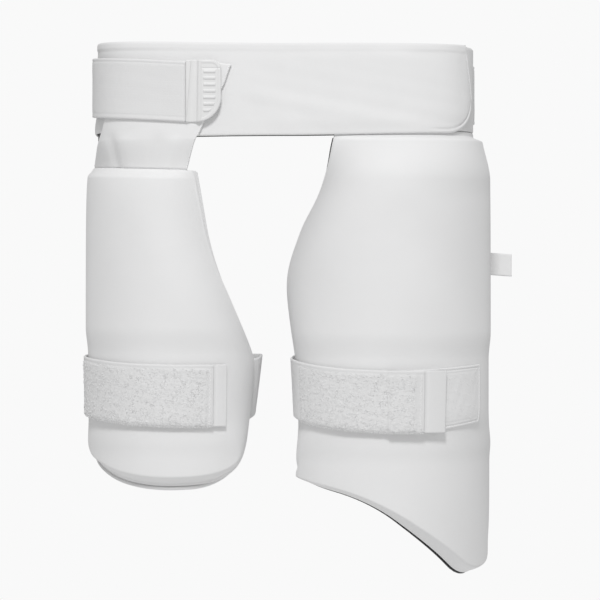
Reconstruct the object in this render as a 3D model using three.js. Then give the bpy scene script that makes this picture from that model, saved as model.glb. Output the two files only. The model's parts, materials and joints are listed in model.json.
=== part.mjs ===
// Cricket thigh guard: an outer thigh pad for one leg and an inner thigh pad for the other hang from
// one wide waist belt. It keeps the form that it has when it is worn, fastened round an open waist.
// Millimetres, +Z up, front towards -Y. The origin is the middle of the waist opening, half way up the belt.
import * as THREE from "three";

// Waist opening
const waistHalfWidth = 151;
const waistFrontDepth = 94.8;
const waistBackDepth = 95;
const waistFrontSquareness = 4.3;
const waistBackSquareness = 2.4;

// Leg openings: how far each leg's middle is from the waist's middle, and its half width and depth
const outerLegCentre = 82.7;
const outerLegSetBack = 14;
const outerLegHalfWidth = 70.6;
const outerLegDepth = 80;
const legBlendShare = 0.14;
const innerLegCentre = 89.5;
const innerLegSetBack = 15;
const innerLegHalfWidth = 64;
const innerLegDepth = 75;

// Space between two layers that lie on each other
const layerGap = 0.3;

// Distance between the shared stations along the waist and along a leg
const waistStep = 8;
const legStep = 7;
// Least straight stretch left between two rounded corners of a pad's outline
const cornerRoom = 0.3;
// Rows and columns of the pads' grids
const padGrid = { outerRows: 19, outerColumns: 20, innerRows: 17, innerColumns: 14 };

// Waist belt and its dark lining
const beltHeight = 74;
const beltThickness = 2.8;
const beltLeftReach = 236;
const beltRightReach = 157;
const beltLeftFlare = 3.6;
const beltEndSlant = 9;
const beltRiseLead = 30;
const beltRiseLength = 24;
const beltEndRise = 2.5;
const beltCornerRadius = 27;
const liningThickness = 1.2;
const liningReveal = 0.5;
const liningReach = 233;

// Yoke: the layer under the belt's right end that carries the outer pad and the elastic
const yokeThickness = 2;
const yokeStart = 34;
const yokeEnd = 240;
const yokeCornerRadius = 24;

// Waist elastic and the moulded tab that closes it
const elasticWidth = 48.5;
const elasticThickness = 2;
const elasticSewnOverlap = 24;
const elasticBackRise = 6;
const elasticFrontDrop = 2.4;
const elasticLooseReach = 30;
const elasticYokeMargin = 3;
const elasticBeltLead = 6;
const elasticHangerLead = 50;
const elasticHangerRise = 44;
const closurePlace = 79;
const tabLength = 28;
const tabHeight = 50;
const tabThickness = 3;
const tabTopRadius = 8;
const tabBottomRadius = 20;
const tabRibHeight = 0.9;
const tabRibCount = 5;
const tabRibsFrom = 0.42;
const tabRibsTo = 0.9;
const tabRibSteps = [0.2, 0.35, 0.65, 0.8];
const tabRibReach = 0.33;
const tabRise = 0.6;

// Hanger: the cloth panel that joins the belt to the inner pad
const hangerThickness = 2.2;
const hangerTopHeight = 22.6;
const hangerTopDrop = 2.7;
const hangerTopLeft = 60;
const hangerTopRight = 49;
const hangerBottomLeft = 73.5;
const hangerBottomRight = 11;
const hangerEase = 14;
const hangerRightFallFrom = 0.8;
const hangerBeltMargin = 4;

// Outer thigh pad
const outerPadWidth = 240;
const outerPadHeight = 361;
const outerPadTuck = 4;
const outerPadCrown = 20.5;
const outerPadRim = 3;
const outerPadBevel = 52;
const outerPadSwell = 9;
const outerLiningReveal = 0.8;

// Inner thigh pad and the layer behind it
const innerPadWidth = 200;
const innerPadHeight = 257;
const innerPadDrop = 60;
const innerPadLean = 0.041;
const innerPadCrown = 16;
const innerPadRim = 3;
const innerPadBevel = 50;
const backingThickness = 1.2;
const backingReveal = 2.5;

// Leg straps, with their smooth end tabs, and the patch that the outer strap closes on
const legStrapWidth = 49;
const legStrapThickness = 2;
const legStrapSewnOverlap = 24;
const legStrapClearance = 0.8;
const strapReach = 4;
const strapEase = 24;
const strapPress = 3.5;
const strapPressMargin = 8;
const strapPressFade = 14;
const outerStrapDrop = 244;
const outerStrapFall = 6;
const outerStrapEnd = 24;
const innerStrapDrop = 240;
const innerStrapFall = 6;
const innerStrapEnd = 27;
const endTabLength = 12;
const endTabThickness = 1.4;
const patchLeft = 4;
const patchWidth = 66;
const patchHeight = 48;
const patchDrop = 246;
const patchThickness = 1.2;
const patchClearance = 0.6;

// Sewn size label at the outer pad's edge
const labelLength = 30;
const labelHeight = 18.5;
const labelThickness = 0.9;
const labelDrop = 139;

// Outlines of the pads: across is a share of the pad's width from its middle line, down a share of its
// height, and round is how far the rounding reaches along each side from the corner, as a share of the width.
const outerPadCorners = [
  { across: -0.177, down: 0.0, round: 0.015 },
  { across: -0.222, down: 0.13, round: 0.13 },
  { across: -0.53, down: 0.312, round: 0.11 },
  { across: -0.404, down: 0.52, round: 0.12 },
  { across: -0.37, down: 0.782, round: 0.05 },
  { across: -0.07, down: 0.82, round: 0.12 },
  { across: 0.27, down: 1.0, round: 0.07 },
  { across: 0.47, down: 0.99, round: 0.07 },
  { across: 0.53, down: 0.92, round: 0.07 },
  { across: 0.53, down: 0.0, round: 0.04 },
];
const innerPadCorners = [
  { across: -0.555, down: 0.0, round: 0.03 },
  { across: -0.555, down: 0.84, round: 0.12 },
  { across: -0.49, down: 0.915, round: 0.13 },
  { across: -0.14, down: 1.0, round: 0.16 },
  { across: 0.17, down: 0.98, round: 0.12 },
  { across: 0.33, down: 0.905, round: 0.11 },
  { across: 0.435, down: 0.59, round: 0.06 },
  { across: 0.305, down: 0.48, round: 0.12 },
  { across: 0.145, down: 0.27, round: 0.14 },
  { across: 0.078, down: 0.0, round: 0.02 },
];

// How far a strap's middle line has come down, as a share of its fall, at shares of the way round the leg
const strapCourse = [
  { around: 0.0, fallen: 0.7 },
  { around: 0.1, fallen: 0.1 },
  { around: 0.4, fallen: -0.5 },
  { around: 0.6, fallen: -0.4 },
  { around: 0.7, fallen: -0.15 },
  { around: 0.76, fallen: 0.12 },
  { around: 0.84, fallen: 0.53 },
  { around: 0.93, fallen: 0.93 },
  { around: 1.0, fallen: 1.03 },
];

const colours = {
  white: { color: 0xe9eaeb, roughness: 0.62 },
  shade: { color: 0xdcdee0, roughness: 0.85 },
  moulded: { color: 0xe4e5e6, roughness: 0.4 },
  dark: { color: 0x232427, roughness: 0.9 },
};

const mix = (from, to, share) => from + (to - from) * share;
const clampShare = (value) => Math.min(1, Math.max(0, value));

function easeShare(value) {
  const share = clampShare(value);
  return share * share * (3 - 2 * share);
}

// Straight interpolation in a table, by two of its named columns
function readTable(table, along, column, value) {
  const last = table.length - 1;
  if (value <= table[0][along]) return table[0][column];
  if (value >= table[last][along]) return table[last][column];
  const next = table.findIndex((row) => row[along] > value);
  const share = (value - table[next - 1][along]) / (table[next][along] - table[next - 1][along]);
  return mix(table[next - 1][column], table[next][column], share);
}

// A closed ring round the body, seen from above. Its front and back halves are superellipses.
// It is walked by distance from the middle of its front, positive towards +X.
class Ring {
  constructor(centreX, centreY, halfWidth, depths, squareness) {
    const steps = 1440;
    this.samples = [];
    let walked = 0;
    for (let i = 0; i <= steps; i++) {
      const turn = -Math.PI + (2 * Math.PI * i) / steps;
      const side = Math.sin(turn);
      const front = Math.cos(turn);
      const half = front >= 0 ? 0 : 1;
      const power = squareness[half];
      const depth = depths[half];
      const shareX = Math.sign(side) * Math.abs(side) ** (2 / power);
      const shareY = -Math.sign(front) * Math.abs(front) ** (2 / power);
      const normal = new THREE.Vector2(
        (Math.sign(shareX) * Math.abs(shareX) ** (power - 1)) / halfWidth,
        (Math.sign(shareY) * Math.abs(shareY) ** (power - 1)) / depth,
      ).normalize();
      const point = new THREE.Vector2(centreX + halfWidth * shareX, centreY + depth * shareY);
      if (i > 0) walked += point.distanceTo(this.samples[i - 1].point);
      this.samples.push({ walked, point, normal });
    }
    this.girth = walked;
    this.frontWalk = this.samples[steps / 2].walked;
  }

  place(along, offset) {
    const walk = (((along + this.frontWalk) % this.girth) + this.girth) % this.girth;
    let low = 0;
    let high = this.samples.length - 1;
    while (high - low > 1) {
      const middle = (low + high) >> 1;
      if (this.samples[middle].walked <= walk) low = middle;
      else high = middle;
    }
    const a = this.samples[low];
    const b = this.samples[high];
    const share = (walk - a.walked) / (b.walked - a.walked);
    const normal = a.normal.clone().lerp(b.normal, share).normalize();
    return a.point.clone().lerp(b.point, share).addScaledVector(normal, offset);
  }

  // Distance along the front at which the ring has this x
  frontAlong(x) {
    let low = -this.girth / 4;
    let high = this.girth / 4;
    for (let i = 0; i < 40; i++) {
      const middle = (low + high) / 2;
      if (this.place(middle, 0).x < x) low = middle;
      else high = middle;
    }
    return (low + high) / 2;
  }
}

const waistRing = new Ring(
  0,
  0,
  waistHalfWidth,
  [waistFrontDepth, waistBackDepth],
  [waistFrontSquareness, waistBackSquareness],
);

function makeWaistForm() {
  return {
    girth: waistRing.girth,
    at: (along, height, offset) => {
      const spot = waistRing.place(along, offset);
      return new THREE.Vector3(spot.x, spot.y, height);
    },
  };
}

// A leg's form follows the waist above blendTop and the leg's own ring below blendBottom
function makeLegForm(centreX, setBack, halfWidth, depth, blendTop, blendBottom) {
  const ring = new Ring(centreX, -setBack, halfWidth, [depth, depth], [2, 2]);
  const waistAlong = waistRing.frontAlong(centreX);
  return {
    girth: ring.girth,
    waistAlong,
    at: (along, height, offset) => {
      const share = easeShare((blendTop - height) / (blendTop - blendBottom));
      const onWaist = waistRing.place(along + waistAlong, offset);
      const spot = onWaist.lerp(ring.place(along, offset), share);
      return new THREE.Vector3(spot.x, spot.y, height);
    },
  };
}

const beltBottom = -beltHeight / 2;
const hangerBendTop = beltBottom - beltLeftFlare - hangerBeltMargin;
const waistForm = makeWaistForm();
const outerLeg = makeLegForm(
  outerLegCentre,
  outerLegSetBack,
  outerLegHalfWidth,
  outerLegDepth,
  beltBottom - 1,
  beltBottom - legBlendShare * outerPadHeight,
);
const innerLeg = makeLegForm(
  -innerLegCentre,
  innerLegSetBack,
  innerLegHalfWidth,
  innerLegDepth,
  hangerBendTop,
  -innerPadDrop,
);

// A closed solid from a grid of places on a form, between an inner and an outer surface.
// A cell is split along its rising diagonal only where that one is clearly the shorter.
const clearlyShorter = 0.85;
function solidSheet(form, grid, innerOffset, outerOffset) {
  const rows = grid.length;
  const columns = grid[0].length;
  const positions = [];
  for (const offset of [outerOffset, innerOffset]) {
    for (const row of grid) {
      for (const spot of row) {
        positions.push(...form.at(spot.along, spot.height, offset(spot.along, spot.height)).toArray());
      }
    }
  }
  const index = [];
  const inner = rows * columns;
  const quad = (a, b, c, d) => index.push(a, b, c, a, c, d);
  const apart = (a, b) => Math.hypot(a.along - b.along, a.height - b.height);
  for (let i = 0; i + 1 < rows; i++) {
    for (let j = 0; j + 1 < columns; j++) {
      const falling = apart(grid[i][j], grid[i + 1][j + 1]);
      const rising = apart(grid[i + 1][j], grid[i][j + 1]);
      const a = i * columns + j;
      const cell = [a, a + columns, a + columns + 1, a + 1];
      if (rising < clearlyShorter * falling) cell.push(cell.shift());
      const [first, second, third, fourth] = cell;
      quad(first, second, third, fourth);
      quad(inner + first, inner + fourth, inner + third, inner + second);
    }
  }
  const rim = [];
  for (let j = 0; j < columns; j++) rim.push(j);
  for (let i = 1; i < rows; i++) rim.push(i * columns + columns - 1);
  for (let j = columns - 2; j >= 0; j--) rim.push((rows - 1) * columns + j);
  for (let i = rows - 2; i > 0; i--) rim.push(i * columns);
  rim.forEach((a, i) => {
    const b = rim[(i + 1) % rim.length];
    quad(a, b, inner + b, inner + a);
  });
  const geometry = new THREE.BufferGeometry();
  geometry.setAttribute("position", new THREE.Float32BufferAttribute(positions, 3));
  geometry.setIndex(signedVolume(positions, index) < 0 ? index.reverse() : index);
  geometry.computeVertexNormals();
  return geometry;
}

function signedVolume(positions, index) {
  const corner = (i) => new THREE.Vector3().fromArray(positions, 3 * index[i]);
  let volume = 0;
  for (let i = 0; i < index.length; i += 3) {
    volume += corner(i).dot(corner(i + 1).cross(corner(i + 2))) / 6;
  }
  return volume;
}

// Shares from 0 to 1 that crowd towards both ends, by how strongly they are packed
function packedShares(count, packing) {
  return Array.from({ length: count + 1 }, (_, i) => {
    const share = i / count;
    return mix(share, easeShare(share), packing);
  });
}

// Places along a band: the shared stations of its form between its two ends, and a few more at each end
function stationsBetween(from, to, step, endSteps = []) {
  const stations = [from, ...endSteps.map((distance) => from + distance)];
  const last = to - (endSteps.length ? Math.max(...endSteps) : 0);
  const first = stations[stations.length - 1];
  for (let i = Math.ceil(first / step + 0.3); i * step < last - 0.3 * step; i++) stations.push(i * step);
  return [...stations, ...endSteps.map((distance) => to - distance).reverse(), to];
}

// Grid of a band between its top and bottom edges
function bandGrid({ stations, down, top, bottom }) {
  return down.map((share) =>
    stations.map((along) => ({ along, height: mix(top(along), bottom(along), share) })),
  );
}

// How far a rounded corner draws an edge in, at a distance from the end
function cornerCut(distance, radius) {
  const into = clampShare(1 - distance / radius);
  return radius * (1 - Math.sqrt(1 - into * into));
}

// A smooth closed outline from a table of corners, as points {along, height}. Two neighbouring roundings
// share the side between them, so the outline never doubles back.
function roundedOutline(corners, width, height, top) {
  const spots = corners.map(({ across, down }) => new THREE.Vector2(across * width, top - down * height));
  const path = new THREE.Path();
  spots.forEach((spot, i) => {
    const before = spots[(i + spots.length - 1) % spots.length];
    const after = spots[(i + 1) % spots.length];
    const { round } = corners[i];
    const roundBefore = corners[(i + spots.length - 1) % spots.length].round;
    const roundAfter = corners[(i + 1) % spots.length].round;
    const roomBefore = (spot.distanceTo(before) * round) / (round + roundBefore);
    const roomAfter = (spot.distanceTo(after) * round) / (round + roundAfter);
    const entryReach = Math.min(round * width, roomBefore - cornerRoom);
    const exitReach = Math.min(round * width, roomAfter - cornerRoom);
    const entry = spot.clone().add(before.clone().sub(spot).setLength(entryReach));
    const exit = spot.clone().add(after.clone().sub(spot).setLength(exitReach));
    if (i === 0) path.moveTo(entry.x, entry.y);
    else path.lineTo(entry.x, entry.y);
    path.quadraticCurveTo(spot.x, spot.y, exit.x, exit.y);
  });
  path.closePath();
  return path.getPoints(8).map((p) => ({ along: p.x, height: p.y }));
}

// Leftmost and rightmost places of an outline at one height
function outlineLimits(outline, height) {
  const crossings = [];
  outline.forEach((a, i) => {
    const b = outline[(i + 1) % outline.length];
    if (a.height === b.height || (a.height - height) * (b.height - height) > 0) return;
    crossings.push(mix(a.along, b.along, (height - a.height) / (b.height - a.height)));
  });
  return [Math.min(...crossings), Math.max(...crossings)];
}

function edgeDistance(outline, along, height) {
  let nearest = Infinity;
  outline.forEach((a, i) => {
    const b = outline[(i + 1) % outline.length];
    const runX = b.along - a.along;
    const runY = b.height - a.height;
    const length = runX * runX + runY * runY;
    const share = length ? clampShare(((along - a.along) * runX + (height - a.height) * runY) / length) : 0;
    nearest = Math.min(nearest, Math.hypot(along - a.along - share * runX, height - a.height - share * runY));
  });
  return nearest;
}

function insideOutline(outline, along, height) {
  const heights = outline.map((p) => p.height);
  if (height > Math.max(...heights) || height < Math.min(...heights)) return false;
  const [left, right] = outlineLimits(outline, height);
  return along >= left && along <= right;
}

// A pad: its outline, and its padding's height above its back face. Rows of its grid lean by its lean.
function makePad({ corners, width, height, top, lean, rim, crown, bevel, tuck, strap }) {
  const outline = roundedOutline(corners, width, height, top);
  const left = Math.min(...outline.map((p) => p.along));
  const level = (along, flat) => flat - lean * (along - left);
  const flatOf = (along, tall) => tall + lean * (along - left);
  const thickness = (along, tall) => {
    const distance = edgeDistance(outline, along, flatOf(along, tall));
    const beyondStrap = Math.abs(tall + strap.drop) - legStrapWidth / 2 - strap.fall - strapPressMargin;
    const pressed = strapPress * (1 - easeShare(beyondStrap / strapPressFade)) * easeShare(distance / bevel);
    const padding = rim + (crown - rim) * easeShare(distance / bevel) - pressed;
    return tuck ? mix(tuck.thickness, padding, easeShare((tuck.below - tall) / tuck.swell)) : padding;
  };
  const edge = 0.4;
  const covers = (along, tall) => insideOutline(outline, along, flatOf(along, tall));
  const grid = (rows, columns, from = top - edge, reveal = 0) => {
    const heights = outline.map((p) => p.height);
    const bottom = Math.min(...heights);
    const flats = packedShares(rows, 0.6).map((share) => mix(top - edge, bottom + edge, share));
    const fixed = [from, ...(tuck ? [tuck.below, tuck.below - tuck.swell / 2] : [])];
    const clearOfFixed = (flat) => flat < top - 1 && fixed.every((height) => Math.abs(flat - height) > 3);
    const kept = fixed.filter((flat) => flat <= from);
    kept.push(...flats.filter((flat) => flat < from && clearOfFixed(flat)));
    kept.sort((a, b) => b - a);
    const rowAt = (flat) => {
      const [low, high] = outlineLimits(outline, flat);
      const places = packedShares(columns, 0.3).map((part) => mix(low, high, part));
      const wider = reveal > 0 ? [low - reveal, ...places, high + reveal] : places;
      return wider.map((along) => ({ along, height: level(along, flat) }));
    };
    const spots = kept.map(rowAt);
    if (reveal > 0) {
      const lowest = spots[spots.length - 1];
      spots.push(lowest.map(({ along, height: tall }) => ({ along, height: tall - reveal })));
    }
    return spots;
  };
  return { outline, thickness, covers, grid, level };
}

const outerPadTop = beltBottom + outerPadTuck;
const outerPad = makePad({
  corners: outerPadCorners,
  width: outerPadWidth,
  height: outerPadHeight,
  top: outerPadTop,
  lean: 0,
  rim: outerPadRim,
  crown: outerPadCrown,
  bevel: outerPadBevel,
  tuck: { thickness: yokeThickness, below: beltBottom - 0.5, swell: outerPadSwell },
  strap: { drop: outerStrapDrop, fall: outerStrapFall },
});
const innerPad = makePad({
  corners: innerPadCorners,
  width: innerPadWidth,
  height: innerPadHeight,
  top: -innerPadDrop,
  lean: innerPadLean,
  rim: innerPadRim,
  crown: innerPadCrown,
  bevel: innerPadBevel,
  strap: { drop: innerStrapDrop, fall: innerStrapFall },
});

// Stack of layers outwards from the waist
const liningOuter = liningThickness;
const yokeInner = liningOuter + layerGap;
const yokeOuter = yokeInner + yokeThickness;
function beltInner(along) {
  const overYoke = easeShare((along - yokeStart + beltRiseLead) / beltRiseLength);
  return mix(liningOuter + layerGap, yokeOuter + layerGap, overYoke);
}
const beltOuterLeft = liningOuter + layerGap + beltThickness;
const hangerInner = beltOuterLeft + layerGap;
const elasticInner = hangerInner + hangerThickness + layerGap;
const padInner = liningThickness + layerGap;

function beltTop(along) {
  return beltHeight / 2 + beltLeftFlare * easeShare(-along / beltLeftReach);
}

const beltRightRise = (along) => beltEndRise * easeShare(along / beltRightReach);
const cornerSteps = [0.6, 3, 8];

function makeBelt() {
  const leftCorner = (along) => cornerCut(along + beltLeftReach, beltCornerRadius);
  const endTip = beltRightReach + 0.4;
  const slantShare = (along) => clampShare(1 - (endTip - along) / beltEndSlant);
  const slantFall = beltHeight - beltCornerRadius - beltEndRise;
  const grid = bandGrid({
    stations: stationsBetween(-beltLeftReach, beltRightReach, waistStep, cornerSteps),
    down: packedShares(5, 0.4),
    top: (along) => beltTop(along) - leftCorner(along) - slantFall * slantShare(along),
    bottom: (along) =>
      -beltTop(along) +
      leftCorner(along) +
      beltRightRise(along) +
      cornerCut(beltRightReach - along, beltCornerRadius),
  });
  return solidSheet(waistForm, grid, beltInner, (along) => beltInner(along) + beltThickness);
}

function makeBeltLining() {
  const leftCorner = (along) => cornerCut(along + liningReach, beltCornerRadius);
  const grid = bandGrid({
    stations: stationsBetween(-liningReach, liningReach, waistStep, cornerSteps),
    down: packedShares(3, 0.4),
    top: (along) => beltTop(along) - liningReveal - leftCorner(along),
    bottom: (along) => -beltTop(along) - liningReveal + leftCorner(along) + beltRightRise(along),
  });
  return solidSheet(
    waistForm,
    grid,
    () => 0,
    () => liningOuter,
  );
}

function makeYoke() {
  const grid = bandGrid({
    stations: stationsBetween(yokeStart, yokeEnd, waistStep, cornerSteps),
    down: packedShares(2, 0),
    top: (along) => beltHeight / 2 - 1 - cornerCut(yokeEnd - along, yokeCornerRadius),
    bottom: () => outerPadTop + layerGap,
  });
  return solidSheet(
    waistForm,
    grid,
    () => yokeInner,
    () => yokeOuter,
  );
}

// The elastic starts on the yoke, runs round the back, lies over the belt's left end and closes at the front
const elasticStart = yokeEnd - elasticSewnOverlap;
const elasticEnd = waistRing.girth - closurePlace - layerGap;
function elasticOffset(along) {
  const ontoBack = easeShare((along - yokeEnd - elasticYokeMargin) / elasticLooseReach);
  const beltEnd = waistRing.girth - beltLeftReach;
  const ontoBelt = easeShare((along - beltEnd + elasticLooseReach + elasticBeltLead) / elasticLooseReach);
  const hangerLeft = waistRing.girth + innerLeg.waistAlong - hangerTopLeft;
  const ontoHanger = easeShare((along - hangerLeft + elasticHangerLead) / elasticHangerRise);
  const offBody = mix(yokeOuter + layerGap, layerGap, ontoBack);
  const onBelt = mix(offBody, beltOuterLeft + layerGap, ontoBelt);
  return mix(onBelt, elasticInner, ontoHanger);
}

function elasticMiddle(along) {
  const leftSide = 0.75 * waistRing.girth;
  const rising = mix(0, elasticBackRise, easeShare((along - yokeEnd) / (leftSide - yokeEnd)));
  const toFront = clampShare((along - leftSide) / (elasticEnd - leftSide));
  return rising - (elasticBackRise + elasticFrontDrop) * toFront;
}

function makeElastic() {
  const grid = bandGrid({
    stations: stationsBetween(elasticStart, elasticEnd, waistStep),
    down: [0, 1],
    top: (along) => elasticMiddle(along) + elasticWidth / 2,
    bottom: (along) => elasticMiddle(along) - elasticWidth / 2,
  });
  return solidSheet(waistForm, grid, elasticOffset, (along) => elasticOffset(along) + elasticThickness);
}

function makeClosureTab() {
  const start = -closurePlace;
  const middle = -elasticFrontDrop + tabRise;
  const ribShare = (tabRibsTo - tabRibsFrom) / tabRibCount;
  const shares = [0, tabRibsFrom / 2, tabRibsFrom - 0.04];
  for (let i = 0; i < tabRibCount; i++) {
    for (const edge of tabRibSteps) shares.push(tabRibsFrom + (i + edge) * ribShare);
  }
  shares.push(0.93, 0.97, 1);
  const grid = bandGrid({
    stations: shares.map((share) => start + share * tabLength),
    down: [0, 0.17, 0.2, 0.5, 0.8, 0.83, 1],
    top: (along) => middle + tabHeight / 2 - cornerCut(start + tabLength - along, tabTopRadius),
    bottom: (along) => middle - tabHeight / 2 + cornerCut(start + tabLength - along, tabBottomRadius),
  });
  const ribbed = (along, height) => {
    const share = (along - start) / tabLength;
    const place = (share - tabRibsFrom) / ribShare;
    const onRib = place > 0 && place < tabRibCount && place % 1 > 0.3 && place % 1 < 0.7;
    const inPanel = Math.abs(height - middle) < tabRibReach * tabHeight;
    return elasticInner + tabThickness + (onRib && inPanel ? tabRibHeight : 0);
  };
  return solidSheet(waistForm, grid, () => elasticInner, ribbed);
}

function makeHanger() {
  const bottomLeft = innerPad.level(-hangerBottomLeft, -innerPadDrop) + layerGap;
  const bottomRight = innerPad.level(hangerBottomRight, -innerPadDrop) + layerGap;
  const left = (down) => -mix(hangerTopLeft, hangerBottomLeft, easeShare((down - 0.5) / 0.5));
  const right = (down) => mix(hangerTopRight, hangerBottomRight, down);
  const bendDown = (hangerTopHeight - hangerBendTop) / (hangerTopHeight - bottomLeft);
  const downShares = [...packedShares(4, 0).map((share) => share * bendDown)];
  packedShares(5, 0).forEach((share) => share > 0 && downShares.push(mix(bendDown, 1, share)));
  const grid = downShares.map((down) =>
    packedShares(15, 0).map((share) => {
      const toRight = easeShare((share - hangerRightFallFrom) / (1 - hangerRightFallFrom));
      const top = hangerTopHeight - hangerTopDrop * toRight;
      const overBelt = mix(top, hangerBendTop, down / bendDown);
      const foot = mix(bottomLeft, bottomRight, share);
      const free = mix(hangerBendTop, foot, (down - bendDown) / (1 - bendDown));
      return { along: mix(left(down), right(down), share), height: down < bendDown ? overBelt : free };
    }),
  );
  const offset = (along, height) => {
    const away = easeShare((hangerBendTop - height) / hangerEase);
    return mix(hangerInner, padInner, away);
  };
  return solidSheet(innerLeg, grid, offset, (along, height) => offset(along, height) + hangerThickness);
}

function makePadSolid(form, pad, rows, columns) {
  return solidSheet(
    form,
    pad.grid(rows, columns),
    () => padInner,
    (along, height) => padInner + pad.thickness(along, height),
  );
}

function makePadBack({ form, pad, rows, columns, thickness, top, reveal }) {
  return solidSheet(
    form,
    pad.grid(rows, columns, top, reveal),
    () => 0,
    () => thickness,
  );
}

// Patch on the outer pad that its strap closes on
const patchRight = patchLeft + patchWidth;
const onPatch = (along) => along > patchLeft - 1 && along < patchRight + 1;
const outerPadOuter = (along, height) => padInner + outerPad.thickness(along, height);

function makePatch() {
  const grid = bandGrid({
    stations: stationsBetween(patchLeft, patchRight, legStep),
    down: packedShares(4, 0),
    top: () => -patchDrop + patchHeight / 2,
    bottom: () => -patchDrop - patchHeight / 2,
  });
  const inner = (along, height) => outerPadOuter(along, height) + patchClearance;
  return solidSheet(outerLeg, grid, inner, (along, height) => inner(along, height) + patchThickness);
}

// A leg strap is sewn behind the pad's right edge, goes round the back of the leg and lies over the pad's
// front.
function makeStrap({ form, pad, drop, fall, end, patch }) {
  const heightAt = (along) => {
    const course = readTable(strapCourse, "around", "fallen", (along - start) / (form.girth - start));
    return -drop - fall * course;
  };
  const rightEdge = outlineLimits(pad.outline, -drop)[1];
  const start = rightEdge - legStrapSewnOverlap;
  const sewnDepth = -legStrapThickness - legStrapClearance;
  const padSurface = (along) => {
    const place = along - form.girth;
    let highest = 0;
    for (const part of [-0.5, 0, 0.5]) {
      const height = heightAt(along) + part * legStrapWidth;
      if (!pad.covers(place, height)) continue;
      const layer = patch && onPatch(place) ? patchThickness + patchClearance : 0;
      highest = Math.max(highest, padInner + pad.thickness(place, height) + layer);
    }
    return highest;
  };
  const offset = (along) => {
    const leaving = easeShare((along - rightEdge - 2) / strapEase);
    const round = mix(sewnDepth, layerGap, leaving);
    let over = 0;
    for (let step = -strapEase; step <= strapEase; step += 3) {
      const falling = clampShare(1 - (Math.abs(step) - strapReach) / (strapEase - strapReach));
      over = Math.max(over, padSurface(along + step) * falling);
    }
    return over > 0 ? Math.max(round, over + legStrapClearance) : round;
  };
  const band = (from, to, inner, thickness) => {
    const grid = bandGrid({
      stations: stationsBetween(from, to, legStep),
      down: [0, 1],
      top: (along) => heightAt(along) + legStrapWidth / 2,
      bottom: (along) => heightAt(along) - legStrapWidth / 2,
    });
    return solidSheet(form, grid, inner, (along) => inner(along) + thickness);
  };
  const strapEnd = form.girth + end;
  return {
    strap: band(start, strapEnd, offset, legStrapThickness),
    endTab: band(strapEnd + layerGap, strapEnd + endTabLength, offset, endTabThickness),
  };
}

const outerStrap = makeStrap({
  form: outerLeg,
  pad: outerPad,
  drop: outerStrapDrop,
  fall: outerStrapFall,
  end: outerStrapEnd,
  patch: true,
});
const innerStrap = makeStrap({
  form: innerLeg,
  pad: innerPad,
  drop: innerStrapDrop,
  fall: innerStrapFall,
  end: innerStrapEnd,
  patch: false,
});

// The label is sewn behind the outer pad's right edge and stands out sideways
function makeLabel() {
  const edge = outlineLimits(outerPad.outline, -labelDrop)[1];
  const seat = outerLeg.at(edge, -labelDrop, padInner);
  const length = labelLength + outerPadRim;
  const geometry = new THREE.BoxGeometry(length, labelThickness, labelHeight);
  geometry.translate(seat.x + length / 2, seat.y + layerGap + labelThickness / 2, seat.z);
  return geometry;
}

const guard = new THREE.Group();

function addPiece(name, geometry, look) {
  const mesh = new THREE.Mesh(geometry, new THREE.MeshStandardMaterial({ ...look, metalness: 0 }));
  mesh.name = name;
  guard.add(mesh);
}

addPiece("waist_belt", makeBelt(), colours.white);
addPiece("waist_belt_lining", makeBeltLining(), colours.dark);
addPiece("outer_pad_yoke", makeYoke(), colours.white);
addPiece("waist_elastic", makeElastic(), colours.shade);
addPiece("closure_tab", makeClosureTab(), colours.moulded);
addPiece("hanger_panel", makeHanger(), colours.white);
const outerPadGeometry = makePadSolid(outerLeg, outerPad, padGrid.outerRows, padGrid.outerColumns);
addPiece("outer_thigh_pad", outerPadGeometry, colours.white);
const liningTop = -beltHeight / 2 - liningReveal - layerGap;
const outerLining = makePadBack({
  form: outerLeg,
  pad: outerPad,
  rows: padGrid.outerRows,
  columns: padGrid.outerColumns,
  thickness: liningThickness,
  top: liningTop,
  reveal: outerLiningReveal,
});
addPiece("outer_pad_lining", outerLining, colours.dark);
addPiece("outer_thigh_strap", outerStrap.strap, colours.shade);
addPiece("outer_strap_end_tab", outerStrap.endTab, colours.white);
addPiece("outer_loop_patch", makePatch(), colours.shade);
const innerPadGeometry = makePadSolid(innerLeg, innerPad, padGrid.innerRows, padGrid.innerColumns);
addPiece("inner_thigh_pad", innerPadGeometry, colours.white);
const innerBacking = makePadBack({
  form: innerLeg,
  pad: innerPad,
  rows: padGrid.innerRows,
  columns: padGrid.innerColumns,
  thickness: backingThickness,
  reveal: backingReveal,
});
addPiece("inner_pad_backing", innerBacking, colours.white);
addPiece("inner_thigh_strap", innerStrap.strap, colours.shade);
addPiece("inner_strap_end_tab", innerStrap.endTab, colours.white);
addPiece("size_label", makeLabel(), colours.moulded);

export default guard;
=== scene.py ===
# %% [markdown]
# Cricket thigh guard. A wide belt holds a thick pad on one thigh and a thinner pad on the other, and it is
# shown closed round an empty waist. All of it is sewn cloth, so every piece here is a thin shell or a padded
# shell that follows two kinds of form: the oval of the waist, and a rounder oval for each leg. We write those
# forms once, in millimetres, and every piece reads its places from them, so that the layers lie on each other.

import json
import math

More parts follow.
